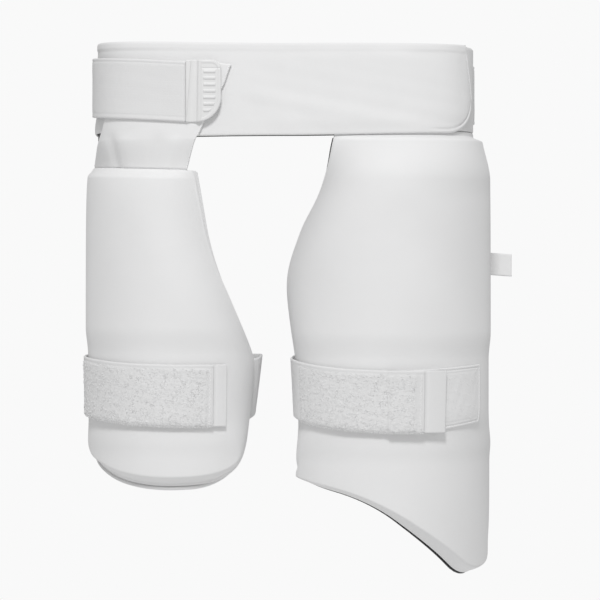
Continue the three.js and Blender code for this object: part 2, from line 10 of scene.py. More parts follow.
import bpy
import numpy as np
from mathutils import Vector
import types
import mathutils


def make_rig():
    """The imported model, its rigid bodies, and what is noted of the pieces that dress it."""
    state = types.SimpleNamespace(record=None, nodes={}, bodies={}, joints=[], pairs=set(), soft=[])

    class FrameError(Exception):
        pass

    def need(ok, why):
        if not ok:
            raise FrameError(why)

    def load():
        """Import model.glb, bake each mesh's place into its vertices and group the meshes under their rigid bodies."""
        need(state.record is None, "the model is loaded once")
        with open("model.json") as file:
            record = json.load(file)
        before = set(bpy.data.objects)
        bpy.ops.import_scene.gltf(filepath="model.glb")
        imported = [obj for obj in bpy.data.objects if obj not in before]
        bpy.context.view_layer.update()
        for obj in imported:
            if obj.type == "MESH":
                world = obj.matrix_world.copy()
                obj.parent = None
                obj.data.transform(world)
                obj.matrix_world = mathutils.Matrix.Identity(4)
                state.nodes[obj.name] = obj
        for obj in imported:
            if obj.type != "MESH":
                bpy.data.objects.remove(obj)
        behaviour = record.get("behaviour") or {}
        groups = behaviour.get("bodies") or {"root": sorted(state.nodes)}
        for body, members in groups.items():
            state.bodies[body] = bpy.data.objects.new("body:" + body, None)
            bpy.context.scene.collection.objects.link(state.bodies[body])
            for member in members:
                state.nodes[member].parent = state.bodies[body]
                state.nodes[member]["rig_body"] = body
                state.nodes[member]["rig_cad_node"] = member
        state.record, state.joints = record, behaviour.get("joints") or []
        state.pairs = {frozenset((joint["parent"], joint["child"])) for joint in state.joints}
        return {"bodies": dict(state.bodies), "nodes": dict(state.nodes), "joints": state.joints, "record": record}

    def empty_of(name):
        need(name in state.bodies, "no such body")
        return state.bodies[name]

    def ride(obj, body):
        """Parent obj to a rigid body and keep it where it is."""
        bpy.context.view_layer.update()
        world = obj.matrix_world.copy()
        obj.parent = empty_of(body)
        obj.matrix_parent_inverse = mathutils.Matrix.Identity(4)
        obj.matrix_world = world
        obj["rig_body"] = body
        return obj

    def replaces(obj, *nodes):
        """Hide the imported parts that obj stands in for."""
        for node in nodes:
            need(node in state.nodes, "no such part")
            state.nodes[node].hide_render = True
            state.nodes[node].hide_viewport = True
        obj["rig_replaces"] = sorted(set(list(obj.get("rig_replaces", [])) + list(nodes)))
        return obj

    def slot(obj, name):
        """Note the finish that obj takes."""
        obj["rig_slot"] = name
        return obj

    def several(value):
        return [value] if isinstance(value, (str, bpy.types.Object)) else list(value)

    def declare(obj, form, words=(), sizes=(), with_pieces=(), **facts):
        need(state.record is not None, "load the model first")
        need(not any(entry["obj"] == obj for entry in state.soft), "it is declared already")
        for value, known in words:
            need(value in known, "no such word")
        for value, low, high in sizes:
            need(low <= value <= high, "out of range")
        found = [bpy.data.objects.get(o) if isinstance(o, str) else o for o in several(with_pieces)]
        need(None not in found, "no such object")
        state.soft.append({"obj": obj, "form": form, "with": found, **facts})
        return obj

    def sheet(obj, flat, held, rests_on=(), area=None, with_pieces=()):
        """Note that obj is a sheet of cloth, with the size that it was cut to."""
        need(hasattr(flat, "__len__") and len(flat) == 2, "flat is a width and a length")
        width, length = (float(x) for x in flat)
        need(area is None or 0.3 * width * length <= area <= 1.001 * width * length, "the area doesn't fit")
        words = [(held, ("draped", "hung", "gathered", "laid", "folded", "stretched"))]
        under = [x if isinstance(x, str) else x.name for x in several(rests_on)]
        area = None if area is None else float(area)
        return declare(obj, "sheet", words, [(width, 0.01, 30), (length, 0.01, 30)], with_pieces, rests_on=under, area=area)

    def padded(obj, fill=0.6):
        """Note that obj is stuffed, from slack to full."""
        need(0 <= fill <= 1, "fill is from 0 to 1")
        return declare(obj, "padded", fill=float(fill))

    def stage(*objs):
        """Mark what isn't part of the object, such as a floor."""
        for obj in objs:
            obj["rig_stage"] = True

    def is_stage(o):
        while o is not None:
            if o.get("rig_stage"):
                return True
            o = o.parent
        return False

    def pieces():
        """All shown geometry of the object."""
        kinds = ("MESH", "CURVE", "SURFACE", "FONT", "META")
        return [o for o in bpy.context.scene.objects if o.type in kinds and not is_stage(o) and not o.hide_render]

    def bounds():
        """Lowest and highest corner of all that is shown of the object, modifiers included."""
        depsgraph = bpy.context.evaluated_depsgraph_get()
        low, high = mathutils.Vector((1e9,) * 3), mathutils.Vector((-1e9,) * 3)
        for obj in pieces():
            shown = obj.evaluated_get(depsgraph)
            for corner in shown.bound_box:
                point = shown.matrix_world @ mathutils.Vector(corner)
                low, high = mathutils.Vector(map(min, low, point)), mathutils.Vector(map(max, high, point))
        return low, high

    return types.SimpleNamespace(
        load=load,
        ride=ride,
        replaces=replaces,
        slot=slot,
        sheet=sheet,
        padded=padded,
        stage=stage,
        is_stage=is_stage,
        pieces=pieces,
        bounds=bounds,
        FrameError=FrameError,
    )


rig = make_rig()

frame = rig.load()
cad_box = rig.bounds()
MM = 0.001
print("solid model's box in metres:", cad_box)

# %% [markdown]
# The camera stands straight in front, at the height of the pads' middle, three metres away. The long lens
# keeps the near and far sides almost the same size, as in a catalogue picture. Lens and place follow from one
# number: how many millimetres a pixel covers at the belt's middle plane.

# %% Camera
camera_distance = 3000.0
camera_side = 12.0
camera_height = -169.4
mm_per_pixel = 0.83
picture_pixels = 600

camera_data = bpy.data.cameras.new("camera")
camera_data.sensor_width = 36.0
camera_data.lens = 36.0 * camera_distance / (mm_per_pixel * picture_pixels)
camera_data.clip_end = 50.0
camera = bpy.data.objects.new("camera", camera_data)
camera.location = (camera_side * MM, -camera_distance * MM, camera_height * MM)
camera.rotation_euler = (math.radians(90), 0, 0)
bpy.context.scene.collection.objects.link(camera)
bpy.context.scene.camera = camera
print("lens in millimetres:", round(camera_data.lens, 1))

# %% [markdown]
# The waist and the legs are closed rings, walked by distance from the middle of their front. A superellipse
# gives the flat front and the tight corners of a belt round a waist with two numbers. Sampling it once and
# reading it with straight interpolation is fast, and equal steps along it are equal steps along the cloth.


# %% Rings
class Ring:
    def __init__(self, centre_x, centre_y, half_width, depths, squareness):
        turn = np.linspace(-np.pi, np.pi, 1441)
        side, front = np.sin(turn), np.cos(turn)
        power = np.where(front >= 0, squareness[0], squareness[1])
        depth = np.where(front >= 0, depths[0], depths[1])
        share_x = np.sign(side) * np.abs(side) ** (2 / power)
        share_y = -np.sign(front) * np.abs(front) ** (2 / power)
        self.x = centre_x + half_width * share_x
        self.y = centre_y + depth * share_y
        normal_x = np.sign(share_x) * np.abs(share_x) ** (power - 1) / half_width
        normal_y = np.sign(share_y) * np.abs(share_y) ** (power - 1) / depth
        size = np.hypot(normal_x, normal_y)
        self.normal_x, self.normal_y = normal_x / size, normal_y / size
        steps = np.hypot(np.diff(self.x), np.diff(self.y))
        self.walked = np.concatenate([[0.0], np.cumsum(steps)])
        self.girth = self.walked[-1]
        self.front_walk = self.walked[720]

    def place(self, along, offset):
        walk = np.mod(along + self.front_walk, self.girth)
        at = lambda values: np.interp(walk, self.walked, values)
        nx, ny = at(self.normal_x), at(self.normal_y)
        size = np.hypot(nx, ny)
        return at(self.x) + nx / size * offset, at(self.y) + ny / size * offset

    def front_along(self, x):
        along = np.linspace(-self.girth / 4, self.girth / 4, 4001)
        return float(np.interp(x, self.place(along, 0.0)[0], along))


waist_ring = Ring(0, 0, 151, (94.8, 95), (4.3, 2.4))
print("waist girth in millimetres:", round(waist_ring.girth))


# %% [markdown]
# A leg's form follows the waist at the top and turns into the leg's own oval further down, because the cloth
# leaves the belt and wraps the thigh. Mixing the two places by a smooth share of the height does that.


# %% Forms
def ease(value):
    share = np.clip(value, 0.0, 1.0)
    return share * share * (3 - 2 * share)


def mix(start, end, share):
    return start + (end - start) * share


class WaistForm:
    girth = waist_ring.girth

    def place(self, along, height, offset):
        x, y = waist_ring.place(along, offset)
        return np.stack([x, y, height + 0 * x], axis=-1)


class LegForm:
    def __init__(self, centre_x, set_back, half_width, depth, blend_top, blend_bottom):
        self.ring = Ring(centre_x, -set_back, half_width, (depth, depth), (2, 2))
        self.girth = self.ring.girth
        self.waist_along = waist_ring.front_along(centre_x)
        self.blend_top, self.blend_bottom = blend_top, blend_bottom

    def place(self, along, height, offset):
        share = ease((self.blend_top - height) / (self.blend_top - self.blend_bottom))
        waist_x, waist_y = waist_ring.place(along + self.waist_along, offset)
        leg_x, leg_y = self.ring.place(along, offset)
        x, y = mix(waist_x, leg_x, share), mix(waist_y, leg_y, share)
        return np.stack([x, y, height + 0 * x], axis=-1)


belt_height, belt_left_flare = 74.0, 3.6
belt_bottom = -belt_height / 2
hanger_bend_top = belt_bottom - belt_left_flare - 4.0
outer_pad_height, inner_pad_drop = 361.0, 60.0
waist = WaistForm()
outer_leg = LegForm(82.7, 14, 70.6, 80, belt_bottom - 1, belt_bottom - 0.14 * outer_pad_height)
inner_leg = LegForm(-89.5, 15, 64, 75, hanger_bend_top, -inner_pad_drop)
print("leg girths in millimetres:", round(outer_leg.girth), round(inner_leg.girth))

# %% [markdown]
# Cloth has two faces and a soft edge. A shell is a grid of places with an inner and an outer offset from its
# form. Near its edges the two faces come together on a half circle, which gives a rounded hem without any
# modifier. Its UV map is the flat cloth in metres, so that weave and stitches keep their real size.


# %% Shell builder
def soft_edge(inner, outer, distance, radius):
    rise = np.clip(distance / radius, 0.0, 1.0)
    fullness = np.maximum(np.sqrt(1 - (1 - rise) ** 2), 0.04)
    middle, half = (inner + outer) / 2, (outer - inner) / 2
    return middle - half * fullness, middle + half * fullness


def closed_object(name, outside, inside, flat, fronts, rim):
    # The inner face is the outer one turned round, and a strip of quads along the rim joins the two. All of
    # them are turned if the outer face would look towards the inner one.
    count, after = len(outside), np.roll(rim, -1)
    backs = [front[:, ::-1] + count for front in fronts]
    strip = np.stack([rim, after, after + count, rim + count], axis=-1)
    corner = outside[fronts[0][:, :3]]
    facing = np.cross(corner[:, 1] - corner[:, 0], corner[:, 2] - corner[:, 0])
    turn = -1 if (facing * (outside - inside)[fronts[0][:, 0]]).sum() < 0 else 1
    faces = [face for group in (*fronts, *backs, strip) for face in group[:, ::turn].tolist()]
    mesh = bpy.data.meshes.new(name)
    mesh.from_pydata((np.concatenate([outside, inside]) * MM).tolist(), [], faces)
    corner_vertex = np.empty(len(mesh.loops), dtype=np.int32)
    mesh.loops.foreach_get("vertex_index", corner_vertex)
    places = (np.concatenate([flat, flat]) * MM)[corner_vertex]
    mesh.uv_layers.new(name="cloth").data.foreach_set("uv", places.astype(np.float32).ravel())
    mesh.polygons.foreach_set("use_smooth", [True] * len(mesh.polygons))
    mesh.update()
    piece = bpy.data.objects.new(name, mesh)
    bpy.context.scene.collection.objects.link(piece)
    return piece


def edge_loop(values):
    # the border of a grid, walked once round and closed
    return np.concatenate([values[0], values[1:, -1], values[-1, -2::-1], values[-2::-1, 0]])


def grid_quads(rows, columns):
    index = np.arange(rows * columns).reshape(rows, columns)
    corners = (index[:-1, :-1], index[1:, :-1], index[1:, 1:], index[:-1, 1:])
    return index, np.stack(corners, axis=-1).reshape(-1, 4)


def shell_object(name, form, along, height, inner, outer):
    index, quads = grid_quads(*along.shape)
    outside, inside = (form.place(along, height, offset).reshape(-1, 3) for offset in (outer, inner))
    flat = np.stack([along.ravel(), height.ravel()], axis=-1)
    return closed_object(name, outside, inside, flat, [quads], edge_loop(index)[:-1])


def packed(count, packing):
    # shares from 0 to 1 that crowd near both ends
    share = np.linspace(0.0, 1.0, count + 1)
    return mix(share, ease(share), packing)


def band_grid(start, end, columns, rows, top, bottom, packing=0.7):
    along = mix(start, end, packed(columns, packing))[None, :].repeat(rows + 1, axis=0)
    down = packed(rows, packing)[:, None]
    return along, mix(top(along), bottom(along), down)


def band_edge_distance(along, height, start, end, top, bottom):
    sides = np.minimum(along - start, end - along)
    return np.minimum(sides, np.minimum(top(along) - height, height - bottom(along)))


# %% [markdown]
# Hand-sewn cloth is never perfectly even. A few broad waves with fixed phases move the faces by a millimetre
# or less, so that light runs over the cloth in soft patches. Fixed phases give the same cloth on every run. A
# seam presses a narrow groove, which is one bell curve across a line, and a cut corner is a quarter circle.


# %% Soft waves
def waves(along, height, size, longest, seed):
    phase = np.random.default_rng(seed).uniform(0, 2 * np.pi, (6, 2))
    total = 0.0
    for i, (first, second) in enumerate(phase):
        length = longest / (1 + 0.55 * i)
        lean = 0.5 + 0.35 * i
        total = total + np.sin(2 * np.pi * (along + lean * height) / length + first) * np.cos(
            2 * np.pi * (height - 0.3 * along) / (0.8 * length) + second
        ) / (1 + 0.5 * i)
    return size * total / 2.2


def bell(place, middle, width):
    return np.exp(-(((place - middle) / width) ** 2))


def corner_cut(distance, radius):
    into = np.clip(1 - distance / radius, 0.0, 1.0)
    return radius * (1 - np.sqrt(np.maximum(1 - into * into, 0.0)))


# %% [markdown]
# White cloth is only convincing when light can find something in it. Three effects are used by many of the
# materials, so each is a node group that reads the flat cloth in metres from the UV map. Trees of nodes are
# long to write one socket at a time, so a helper makes a node, sets what is a value and links what is a socket.


# %% Node helpers
def add_node(tree, kind, inputs=None, **settings):
    node = tree.nodes.new(kind)
    for name, value in settings.items():
        setattr(node, name, value)
    for name, value in (inputs or {}).items():
        if isinstance(value, bpy.types.NodeSocket):
            tree.links.new(value, node.inputs[name])
        else:
            node.inputs[name].default_value = value
    return node


def add_math(tree, operation, *values):
    return add_node(tree, "ShaderNodeMath", dict(enumerate(values)), operation=operation).outputs[0]


def add_noise(tree, vector, scale, detail, roughness=0.5):
    inputs = {"Vector": vector, "Scale": scale, "Detail": detail, "Roughness": roughness}
    return add_node(tree, "ShaderNodeTexNoise", inputs).outputs["Fac"]


def new_group(kind, name, inputs, outputs):
    # a socket is given by its kind, or by its starting value if it is a plain number
    tree = bpy.data.node_groups.new(name, kind)
    for side, sockets in (("INPUT", inputs), ("OUTPUT", outputs)):
        for label, value in sockets.items():
            socket_type = "NodeSocket" + (value if isinstance(value, str) else "Float")
            socket = tree.interface.new_socket(name=label, in_out=side, socket_type=socket_type)
            if not isinstance(value, str):
                socket.default_value = value
    return tree, tree.nodes.new("NodeGroupInput").outputs, tree.nodes.new("NodeGroupOutput").inputs


# %% [markdown]
# The face cloth is a fine knit. Its loops are two sine waves across each other, and a fine noise on top makes
# them uneven, as spun yarn is.

# %% Knit group
knit, knit_in, knit_out = new_group(
    "ShaderNodeTree", "fine_knit", {"Cloth": "Vector", "Stitches per metre": 900.0}, {"Height": "Float"}
)
split = add_node(knit, "ShaderNodeSeparateXYZ", {0: knit_in["Cloth"]}).outputs
turns = add_math(knit, "MULTIPLY", knit_in["Stitches per metre"], 2 * math.pi)
across, upward = (add_math(knit, "SINE", add_math(knit, "MULTIPLY", split[i], turns)) for i in (0, 1))
loops = add_math(knit, "MULTIPLY", across, upward)
uneven = add_math(knit, "MULTIPLY", add_noise(knit, knit_in["Cloth"], 260.0, 3.0), 2.4)
knit.links.new(add_math(knit, "ADD", loops, uneven), knit_out["Height"])

# %% [markdown]
# Handling leaves cloth a little cleaner here and a little greyer there. The mottle is a slow noise, spread
# between a low and a high share, and colour and roughness both follow it.

# %% Mottle group
mottle, mottle_in, mottle_out = new_group(
    "ShaderNodeTree",
    "soft_mottle",
    {"Cloth": "Vector", "Patches per metre": 14.0, "Low": 0.9, "High": 1.0},
    {"Value": "Float"},
)
patch_noise = add_noise(mottle, mottle_in["Cloth"], mottle_in["Patches per metre"], 3.0)
limits = {"From Min": 0.3, "From Max": 0.7, "To Min": mottle_in["Low"], "To Max": mottle_in["High"]}
spread = add_node(mottle, "ShaderNodeMapRange", {"Value": patch_noise} | limits)
mottle.links.new(spread.outputs[0], mottle_out["Value"])

# %% [markdown]
# The straps' front is brushed: thousands of broken loops stand up as tufts. Round cells give the tufts and noise
# curls them. A second output is painted shade: a fine noise that multiplies the base colour and darkens and
# lightens the pile in small patches, for the shade in the gaps between the tufts.

# %% Pile group
pile, pile_in, pile_out = new_group(
    "ShaderNodeTree",
    "brushed_pile",
    {"Cloth": "Vector", "Tufts per metre": 900.0},
    {"Height": "Float", "Light": "Float"},
)
cloth, tuft_scale = pile_in["Cloth"], pile_in["Tufts per metre"]
tufts = add_node(pile, "ShaderNodeTexVoronoi", {"Vector": cloth, "Scale": tuft_scale})
tuft_height = add_math(pile, "SUBTRACT", 1.0, tufts.outputs["Distance"])
pile.links.new(add_math(pile, "ADD", tuft_height, add_noise(pile, cloth, tuft_scale, 3.0, 0.7)), pile_out["Height"])
# painted shade for the gaps between tufts: this noise multiplies the pile's base colour
pile_gap_shade = add_math(pile, "MULTIPLY", add_noise(pile, cloth, 420.0, 4.0, 0.8), 0.5)
pile.links.new(add_math(pile, "ADD", 0.75, pile_gap_shade), pile_out["Light"])
print("node groups:", [tree.name for tree in (knit, mottle, pile)])


# %% [markdown]
# Each material is a Principled shader. Its base colour is one tint, multiplied by the mottle, so the cloth has
# slightly cleaner and slightly greyer patches; on the loop cloth it is multiplied by the pile's painted gap
# shade too. Roughness follows the same mottle, and the knit or the pile feeds a bump. Sheen is a plain number
# on the shader, because it is the same all over the cloth.


# %% Cloth materials
def new_material(name, values):
    material = bpy.data.materials.new(name)
    material.use_nodes = True
    shader = material.node_tree.nodes["Principled BSDF"].inputs
    for label, value in values.items():
        shader[label].default_value = value
    return material, material.node_tree, shader


def tinted(tree, share, low, high):
    inputs = {"Factor": share, "A": (*low, 1), "B": (*high, 1)}
    return add_node(tree, "ShaderNodeMix", inputs, data_type="RGBA").outputs["Result"]


def cloth_material(name, tint, roughness, structure, structure_scale, bump, mottle_low, sheen=0.15):
    values = {"Sheen Weight": sheen, "Sheen Roughness": 0.5, "Specular IOR Level": 0.3}
    material, tree, shader = new_material(name, values)
    flat = add_node(tree, "ShaderNodeUVMap", uv_map="cloth").outputs["UV"]
    shade = add_node(tree, "ShaderNodeGroup", {"Cloth": flat, "Low": mottle_low}, node_tree=mottle).outputs["Value"]
    relief = add_node(tree, "ShaderNodeGroup", {"Cloth": flat, 1: structure_scale}, node_tree=structure).outputs
    # on the pile the base colour also takes the pile's painted gap shade
    value = add_math(tree, "MULTIPLY", shade, relief["Light"]) if "Light" in relief else shade
    lift = add_node(tree, "ShaderNodeBump", {"Strength": bump, "Distance": 0.0004, "Height": relief[0]})
    tree.links.new(tinted(tree, value, (0, 0, 0), tint), shader["Base Color"])
    tree.links.new(add_math(tree, "MULTIPLY", shade, roughness), shader["Roughness"])
    tree.links.new(lift.outputs["Normal"], shader["Normal"])
    return material


def thread_material(name, tint, roughness):
    # thread has no flat cloth of its own, so its fibres are a fine noise in object space
    material, tree, shader = new_material(name, {"Specular IOR Level": 0.3})
    fibres = add_noise(tree, tree.nodes.new("ShaderNodeTexCoord").outputs["Object"], 1800.0, 2.0)
    tree.links.new(tinted(tree, fibres, [0.93 * level for level in tint], tint), shader["Base Color"])
    rough = add_math(tree, "ADD", roughness, add_math(tree, "MULTIPLY", fibres, 0.2))
    tree.links.new(rough, shader["Roughness"])
    return material


white_cloth = cloth_material("white_face_cloth", (0.83, 0.83, 0.832), 0.72, knit, 900.0, 0.10, 0.965)
pad_cloth = cloth_material("white_pad_cloth", (0.83, 0.83, 0.832), 0.68, knit, 900.0, 0.08, 0.965)
backing_cloth = cloth_material("pad_backing_cloth", (0.81, 0.81, 0.812), 0.8, knit, 600.0, 0.3, 0.95)
# dark lining cloth; where it shows below the belt and the outer pad it also stands for painted shade
lining_and_shade_cloth = cloth_material("dark_lining_and_shade_cloth", (0.022, 0.022, 0.024), 0.9, knit, 500.0, 0.5, 0.7, sheen=0.4)
elastic_cloth = cloth_material("white_elastic", (0.80, 0.80, 0.802), 0.78, knit, 1500.0, 0.25, 0.96)
loop_cloth = cloth_material("looped_strap_face", (0.79, 0.79, 0.792), 0.92, pile, 1100.0, 0.6, 0.96, sheen=0.3)
smooth_end = cloth_material("smooth_strap_end", (0.81, 0.81, 0.812), 0.55, knit, 1200.0, 0.05, 0.97)
label_tape = cloth_material("label_tape", (0.86, 0.86, 0.86), 0.6, knit, 1500.0, 0.2, 0.97)
thread = thread_material("white_thread", (0.96, 0.96, 0.962), 0.6)
soft_moulded = cloth_material("moulded_tab", (0.79, 0.79, 0.79), 0.42, mottle, 500.0, 0.12, 0.96, sheen=0.0)
print("materials:", len(bpy.data.materials))


# %% [markdown]
# Distances to an edge shape most of these pieces: a hem is thin at its edge and full a few millimetres in. The
# plain distance to a line serves for hems. Padding needs one without a crease half way between two edges, so
# every stretch of its outline pulls on a point, and the pull falls with the cube of the distance.


# %% Edge distance
def by_blocks(measure, along, height, line, block=4000):
    start, run = line[:-1], np.diff(line, axis=0)
    points = np.stack([along.ravel(), height.ravel()], axis=-1)[:, None, :]
    parts = [measure(points[first : first + block] - start, run) for first in range(0, len(points), block)]
    return np.concatenate(parts).reshape(along.shape)


def plain_gap(away, run):
    length = np.maximum((run**2).sum(axis=1), 1e-9)
    share = np.clip((away * run).sum(axis=-1) / length, 0, 1)
    gap = away - share[..., None] * run
    return np.sqrt((gap**2).sum(axis=-1).min(axis=1))


def pulled_gap(away, run):
    length = np.maximum(np.hypot(run[:, 0], run[:, 1]), 1e-6)
    walked = (away * (run / length[:, None])).sum(axis=-1)
    beside = np.maximum((away**2).sum(axis=-1) - walked**2, 1e-6)
    near, far = -walked, length - walked
    pull = (far / np.sqrt(beside + far**2) - near / np.sqrt(beside + near**2)) / beside
    return (np.maximum(pull, 0).sum(axis=1) / 2) ** -0.5


def rim_distance(along, height):
    rim = edge_loop(np.stack([along, height], axis=-1))
    return by_blocks(plain_gap, along, height, np.concatenate([rim[:-1:3], rim[-1:]]))


# %% [markdown]
# Every piece rides the one rigid body, has a slot for its material and stands for nodes of the solid model. A
# sheet also says how large it is when it lies flat. Its lengths and its area are read from the grid that it is
# made from.


# %% Piece helpers
def declare_piece(piece, slot, nodes=()):
    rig.ride(piece, "root")
    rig.slot(piece, slot)
    if nodes:
        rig.replaces(piece, *nodes)
    triangles = sum(len(p.vertices) - 2 for p in piece.data.polygons)
    print(piece.name, "has", triangles, "triangles")
    return piece


def finish_piece(piece, material, slot, *nodes):
    piece.data.materials.append(material)
    return declare_piece(piece, slot, nodes)


def flat_area(along, height):
    spots = np.stack([along, height], axis=-1) * MM
    first, second = spots[1:, 1:] - spots[:-1, :-1], spots[1:, :-1] - spots[:-1, 1:]
    return float(np.abs(first[..., 0] * second[..., 1] - first[..., 1] * second[..., 0]).sum() / 2)


def declare_sheet(piece, along, height, held, rests_on, area_of=flat_area):
    width, length = np.ptp(height) * MM, np.ptp(along) * MM
    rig.sheet(piece, flat=(width, length), held=held, rests_on=rests_on, area=area_of(along, height))


# %% [markdown]
# The belt is soft cloth laminated to thin foam. Its edges are turned in, so it is thin and round along the rim
# and full a centimetre further in. Its right end is cut on a slant and has a big round lower corner. The dark
# lining behind it is a little lower, and shows as a thin dark line under the belt: partly the lining's own
# colour, partly painted shade for the shadow under the belt's edge.


# %% Belt
belt_left, belt_right, belt_thickness = 236.0, 157.0, 2.8
belt_corner, belt_end_slant, belt_end_rise = 27.0, 9.0, 2.5
lining_outer, layer_gap, yoke_thickness = 1.2, 0.3, 2.0
yoke_inner = lining_outer + layer_gap
yoke_outer = yoke_inner + yoke_thickness
belt_outer_left = lining_outer + layer_gap + belt_thickness
hanger_inner, hanger_thickness = belt_outer_left + layer_gap, 2.2


def belt_upper(along):
    return belt_height / 2 + belt_left_flare * ease(-along / belt_left)


def belt_end_lift(along):
    return belt_end_rise * ease(along / belt_right)


def belt_inner(along):
    return mix(lining_outer + layer_gap, yoke_outer + layer_gap, ease((along - 4) / 24))


def left_flare(along, height):
    # below the elastic the belt's left side stands a few millimetres off the waist
    return 1.8 * ease((-along - 155) / 14) * ease((-15 - height) / 14)


def belt_top(along):
    slant = np.clip(1 - (belt_right + 0.4 - along) / belt_end_slant, 0, 1)
    fall = (belt_height - belt_corner - belt_end_rise) * slant
    return belt_upper(along) - corner_cut(along + belt_left, belt_corner) - fall


def belt_lower(along):
    cut = corner_cut(along + belt_left, belt_corner) + corner_cut(belt_right - along, belt_corner)
    return -belt_upper(along) + cut + belt_end_lift(along) + 6.0 * ease((-along - 150) / 12)


along, height = band_grid(-belt_left, belt_right, 320, 50, belt_top, belt_lower, 0.8)
edge = rim_distance(along, height)
free_front = ease((along + 45) / 30)
puff = -0.5 + 0.9 * ease(edge / 13) * free_front + waves(along, height, 0.9, 170, 3) * free_front * ease(edge / 10)
# a piped edge round the free lower corner, and a turned hem along the top
piping = -0.9 * bell(edge, 3.2, 0.7) * ease((along - 112) / 14) * ease((-6 - height) / 8)
from_top = belt_top(along) - height
hem_depth = 0.25 + 0.35 * ease((np.abs(along) - 70) / 60)
hem = -hem_depth * ease((from_top - 5.4) / 1.2) * np.exp(-np.maximum(from_top - 7.0, 0) / 12)
end_curl = 1.2 * ease((along - belt_right + 16) / 15)
inner = belt_inner(along) + left_flare(along, height) + end_curl
inner, outer = soft_edge(inner, inner + belt_thickness + puff + piping + hem, edge, 2.0)
belt = shell_object("waist_belt_cloth", waist, along, height, inner, outer)
finish_piece(belt, white_cloth, "face_cloth", "waist_belt")
declare_sheet(belt, along, height, "stretched", ["waist_belt_lining_cloth"])

# %% [markdown]
# The lining is one dark sheet behind the belt. It is cut a little lower than the belt, and goes on behind the
# yoke on the right, so that the whole waist is lined. The dark strip it shows below the belt is painted shade in
# part, and in part the lining's own colour.

# %% Belt lining
# the lining hangs below the belt so its dark edge shows: painted shade under the belt, partly the lining's colour
lining_reach, lining_shade_line_drop = 233.0, 0.6


def lining_top(along):
    return belt_upper(along) - 0.5 - corner_cut(along + lining_reach, belt_corner)


def lining_lower(along):
    return -belt_upper(along) - lining_shade_line_drop + corner_cut(along + lining_reach, belt_corner) + belt_end_lift(along)


along, height = band_grid(-lining_reach, lining_reach, 240, 20, lining_top, lining_lower)
edge = band_edge_distance(along, height, -lining_reach, lining_reach, lining_top, lining_lower)
stand = left_flare(along, height)
inner, outer = soft_edge(stand, stand + lining_outer, edge, 1.0)
lining = shell_object("waist_belt_lining_cloth", waist, along, height, inner, outer)
finish_piece(lining, lining_and_shade_cloth, "dark_lining", "waist_belt_lining")
declare_sheet(lining, along, height, "stretched", ["waist_belt_cloth"])

# %% [markdown]
# The yoke is the under layer at the belt's right end. The outer pad and the elastic are sewn to it, so it runs
# from behind the belt round the side, and ends just above the pad.

# %% Yoke
yoke_start, yoke_end, pad_top = 34.0, 240.0, belt_bottom + 4.0


def yoke_top(along):
    return belt_height / 2 - 1 - corner_cut(yoke_end - along, 24.0)


def yoke_lower(along):
    return pad_top + layer_gap + 0 * along


along, height = band_grid(yoke_start, yoke_end, 150, 26, yoke_top, yoke_lower)
edge = rim_distance(along, height)
yoke_face = yoke_outer + waves(along, height, 0.15, 90, 5) * ease(edge / 8)
inner, outer = soft_edge(yoke_inner + 0 * along, yoke_face, edge, 1.2)
yoke = shell_object("outer_pad_yoke_cloth", waist, along, height, inner, outer)
finish_piece(yoke, white_cloth, "face_cloth", "outer_pad_yoke")
declare_sheet(yoke, along, height, "stretched", ["waist_belt_lining_cloth"])


# %% [markdown]
# The waist elastic starts on the yoke, runs round the back and comes over the belt's left end. Its course is
# an offset from the waist that changes where it climbs onto each layer. Elastic is ribbed along its length,
# so a row of shallow ribs goes straight into its faces: they catch the light at a grazing angle.


# %% Waist elastic
elastic_width, elastic_thickness = 48.5, 2.0
closure_place = 79.0
elastic_inner = hanger_inner + hanger_thickness + layer_gap
elastic_end = waist.girth - closure_place


def elastic_offset(along):
    onto_back = ease((along - yoke_end - 3) / 30)
    onto_belt = ease((along - (waist.girth - belt_left) + 36) / 30)
    onto_hanger = ease((along - (waist.girth + inner_leg.waist_along - 60) + 50) / 44)
    off_body = mix(yoke_outer + layer_gap, layer_gap, onto_back)
    return mix(mix(off_body, belt_outer_left + layer_gap, onto_belt), elastic_inner, onto_hanger)


def elastic_middle(along):
    left_side = 0.75 * waist.girth
    rising = 6 * ease((along - yoke_end) / (left_side - yoke_end))
    return rising - 8.4 * np.clip((along - left_side) / (elastic_end - left_side), 0, 1)


def elastic_top(along):
    return elastic_middle(along) + elastic_width / 2


def elastic_lower(along):
    return elastic_middle(along) - elastic_width / 2


elastic_ends = (yoke_end - 24, elastic_end)
along, height = band_grid(*elastic_ends, 300, 60, elastic_top, elastic_lower, 0.3)
edge = band_edge_distance(along, height, *elastic_ends, elastic_top, elastic_lower)
below_top = elastic_top(along) - height
hem = -0.35 * bell(below_top, 2.6, 0.7) - 0.2 * bell(below_top, 45, 0.8)
ribs = 0.09 * np.sin(2 * np.pi * below_top / 1.6) * ease((edge - 2) / 3)
inner = elastic_offset(along)
inner, outer = soft_edge(inner, inner + elastic_thickness + hem + ribs + waves(along, height, 0.2, 120, 8), edge, 1.0)
waist_elastic = shell_object("waist_elastic_band", waist, along, height, inner, outer)
finish_piece(waist_elastic, elastic_cloth, "elastic_webbing", "waist_elastic")
declare_sheet(waist_elastic, along, height, "stretched", ["waist_belt_cloth"])

# %% [markdown]
# A soft moulded tab is welded over the elastic's end, to be gripped with gloves on. It is one thin plate with
# relief: a flat band where it is welded, a raised ridge, and a sunk panel with plain grip ribs. Relief is a
# height that depends on the place, so a fine grid and a few smooth steps make all of it in one mesh.

# %% Closure tab
tab_length, tab_height, tab_thickness = 28.0, 50.0, 3.0
tab_start, tab_middle = -closure_place, -1.8


def tab_top(along):
    return tab_middle + tab_height / 2 - corner_cut(tab_start + tab_length - along, 8.0)


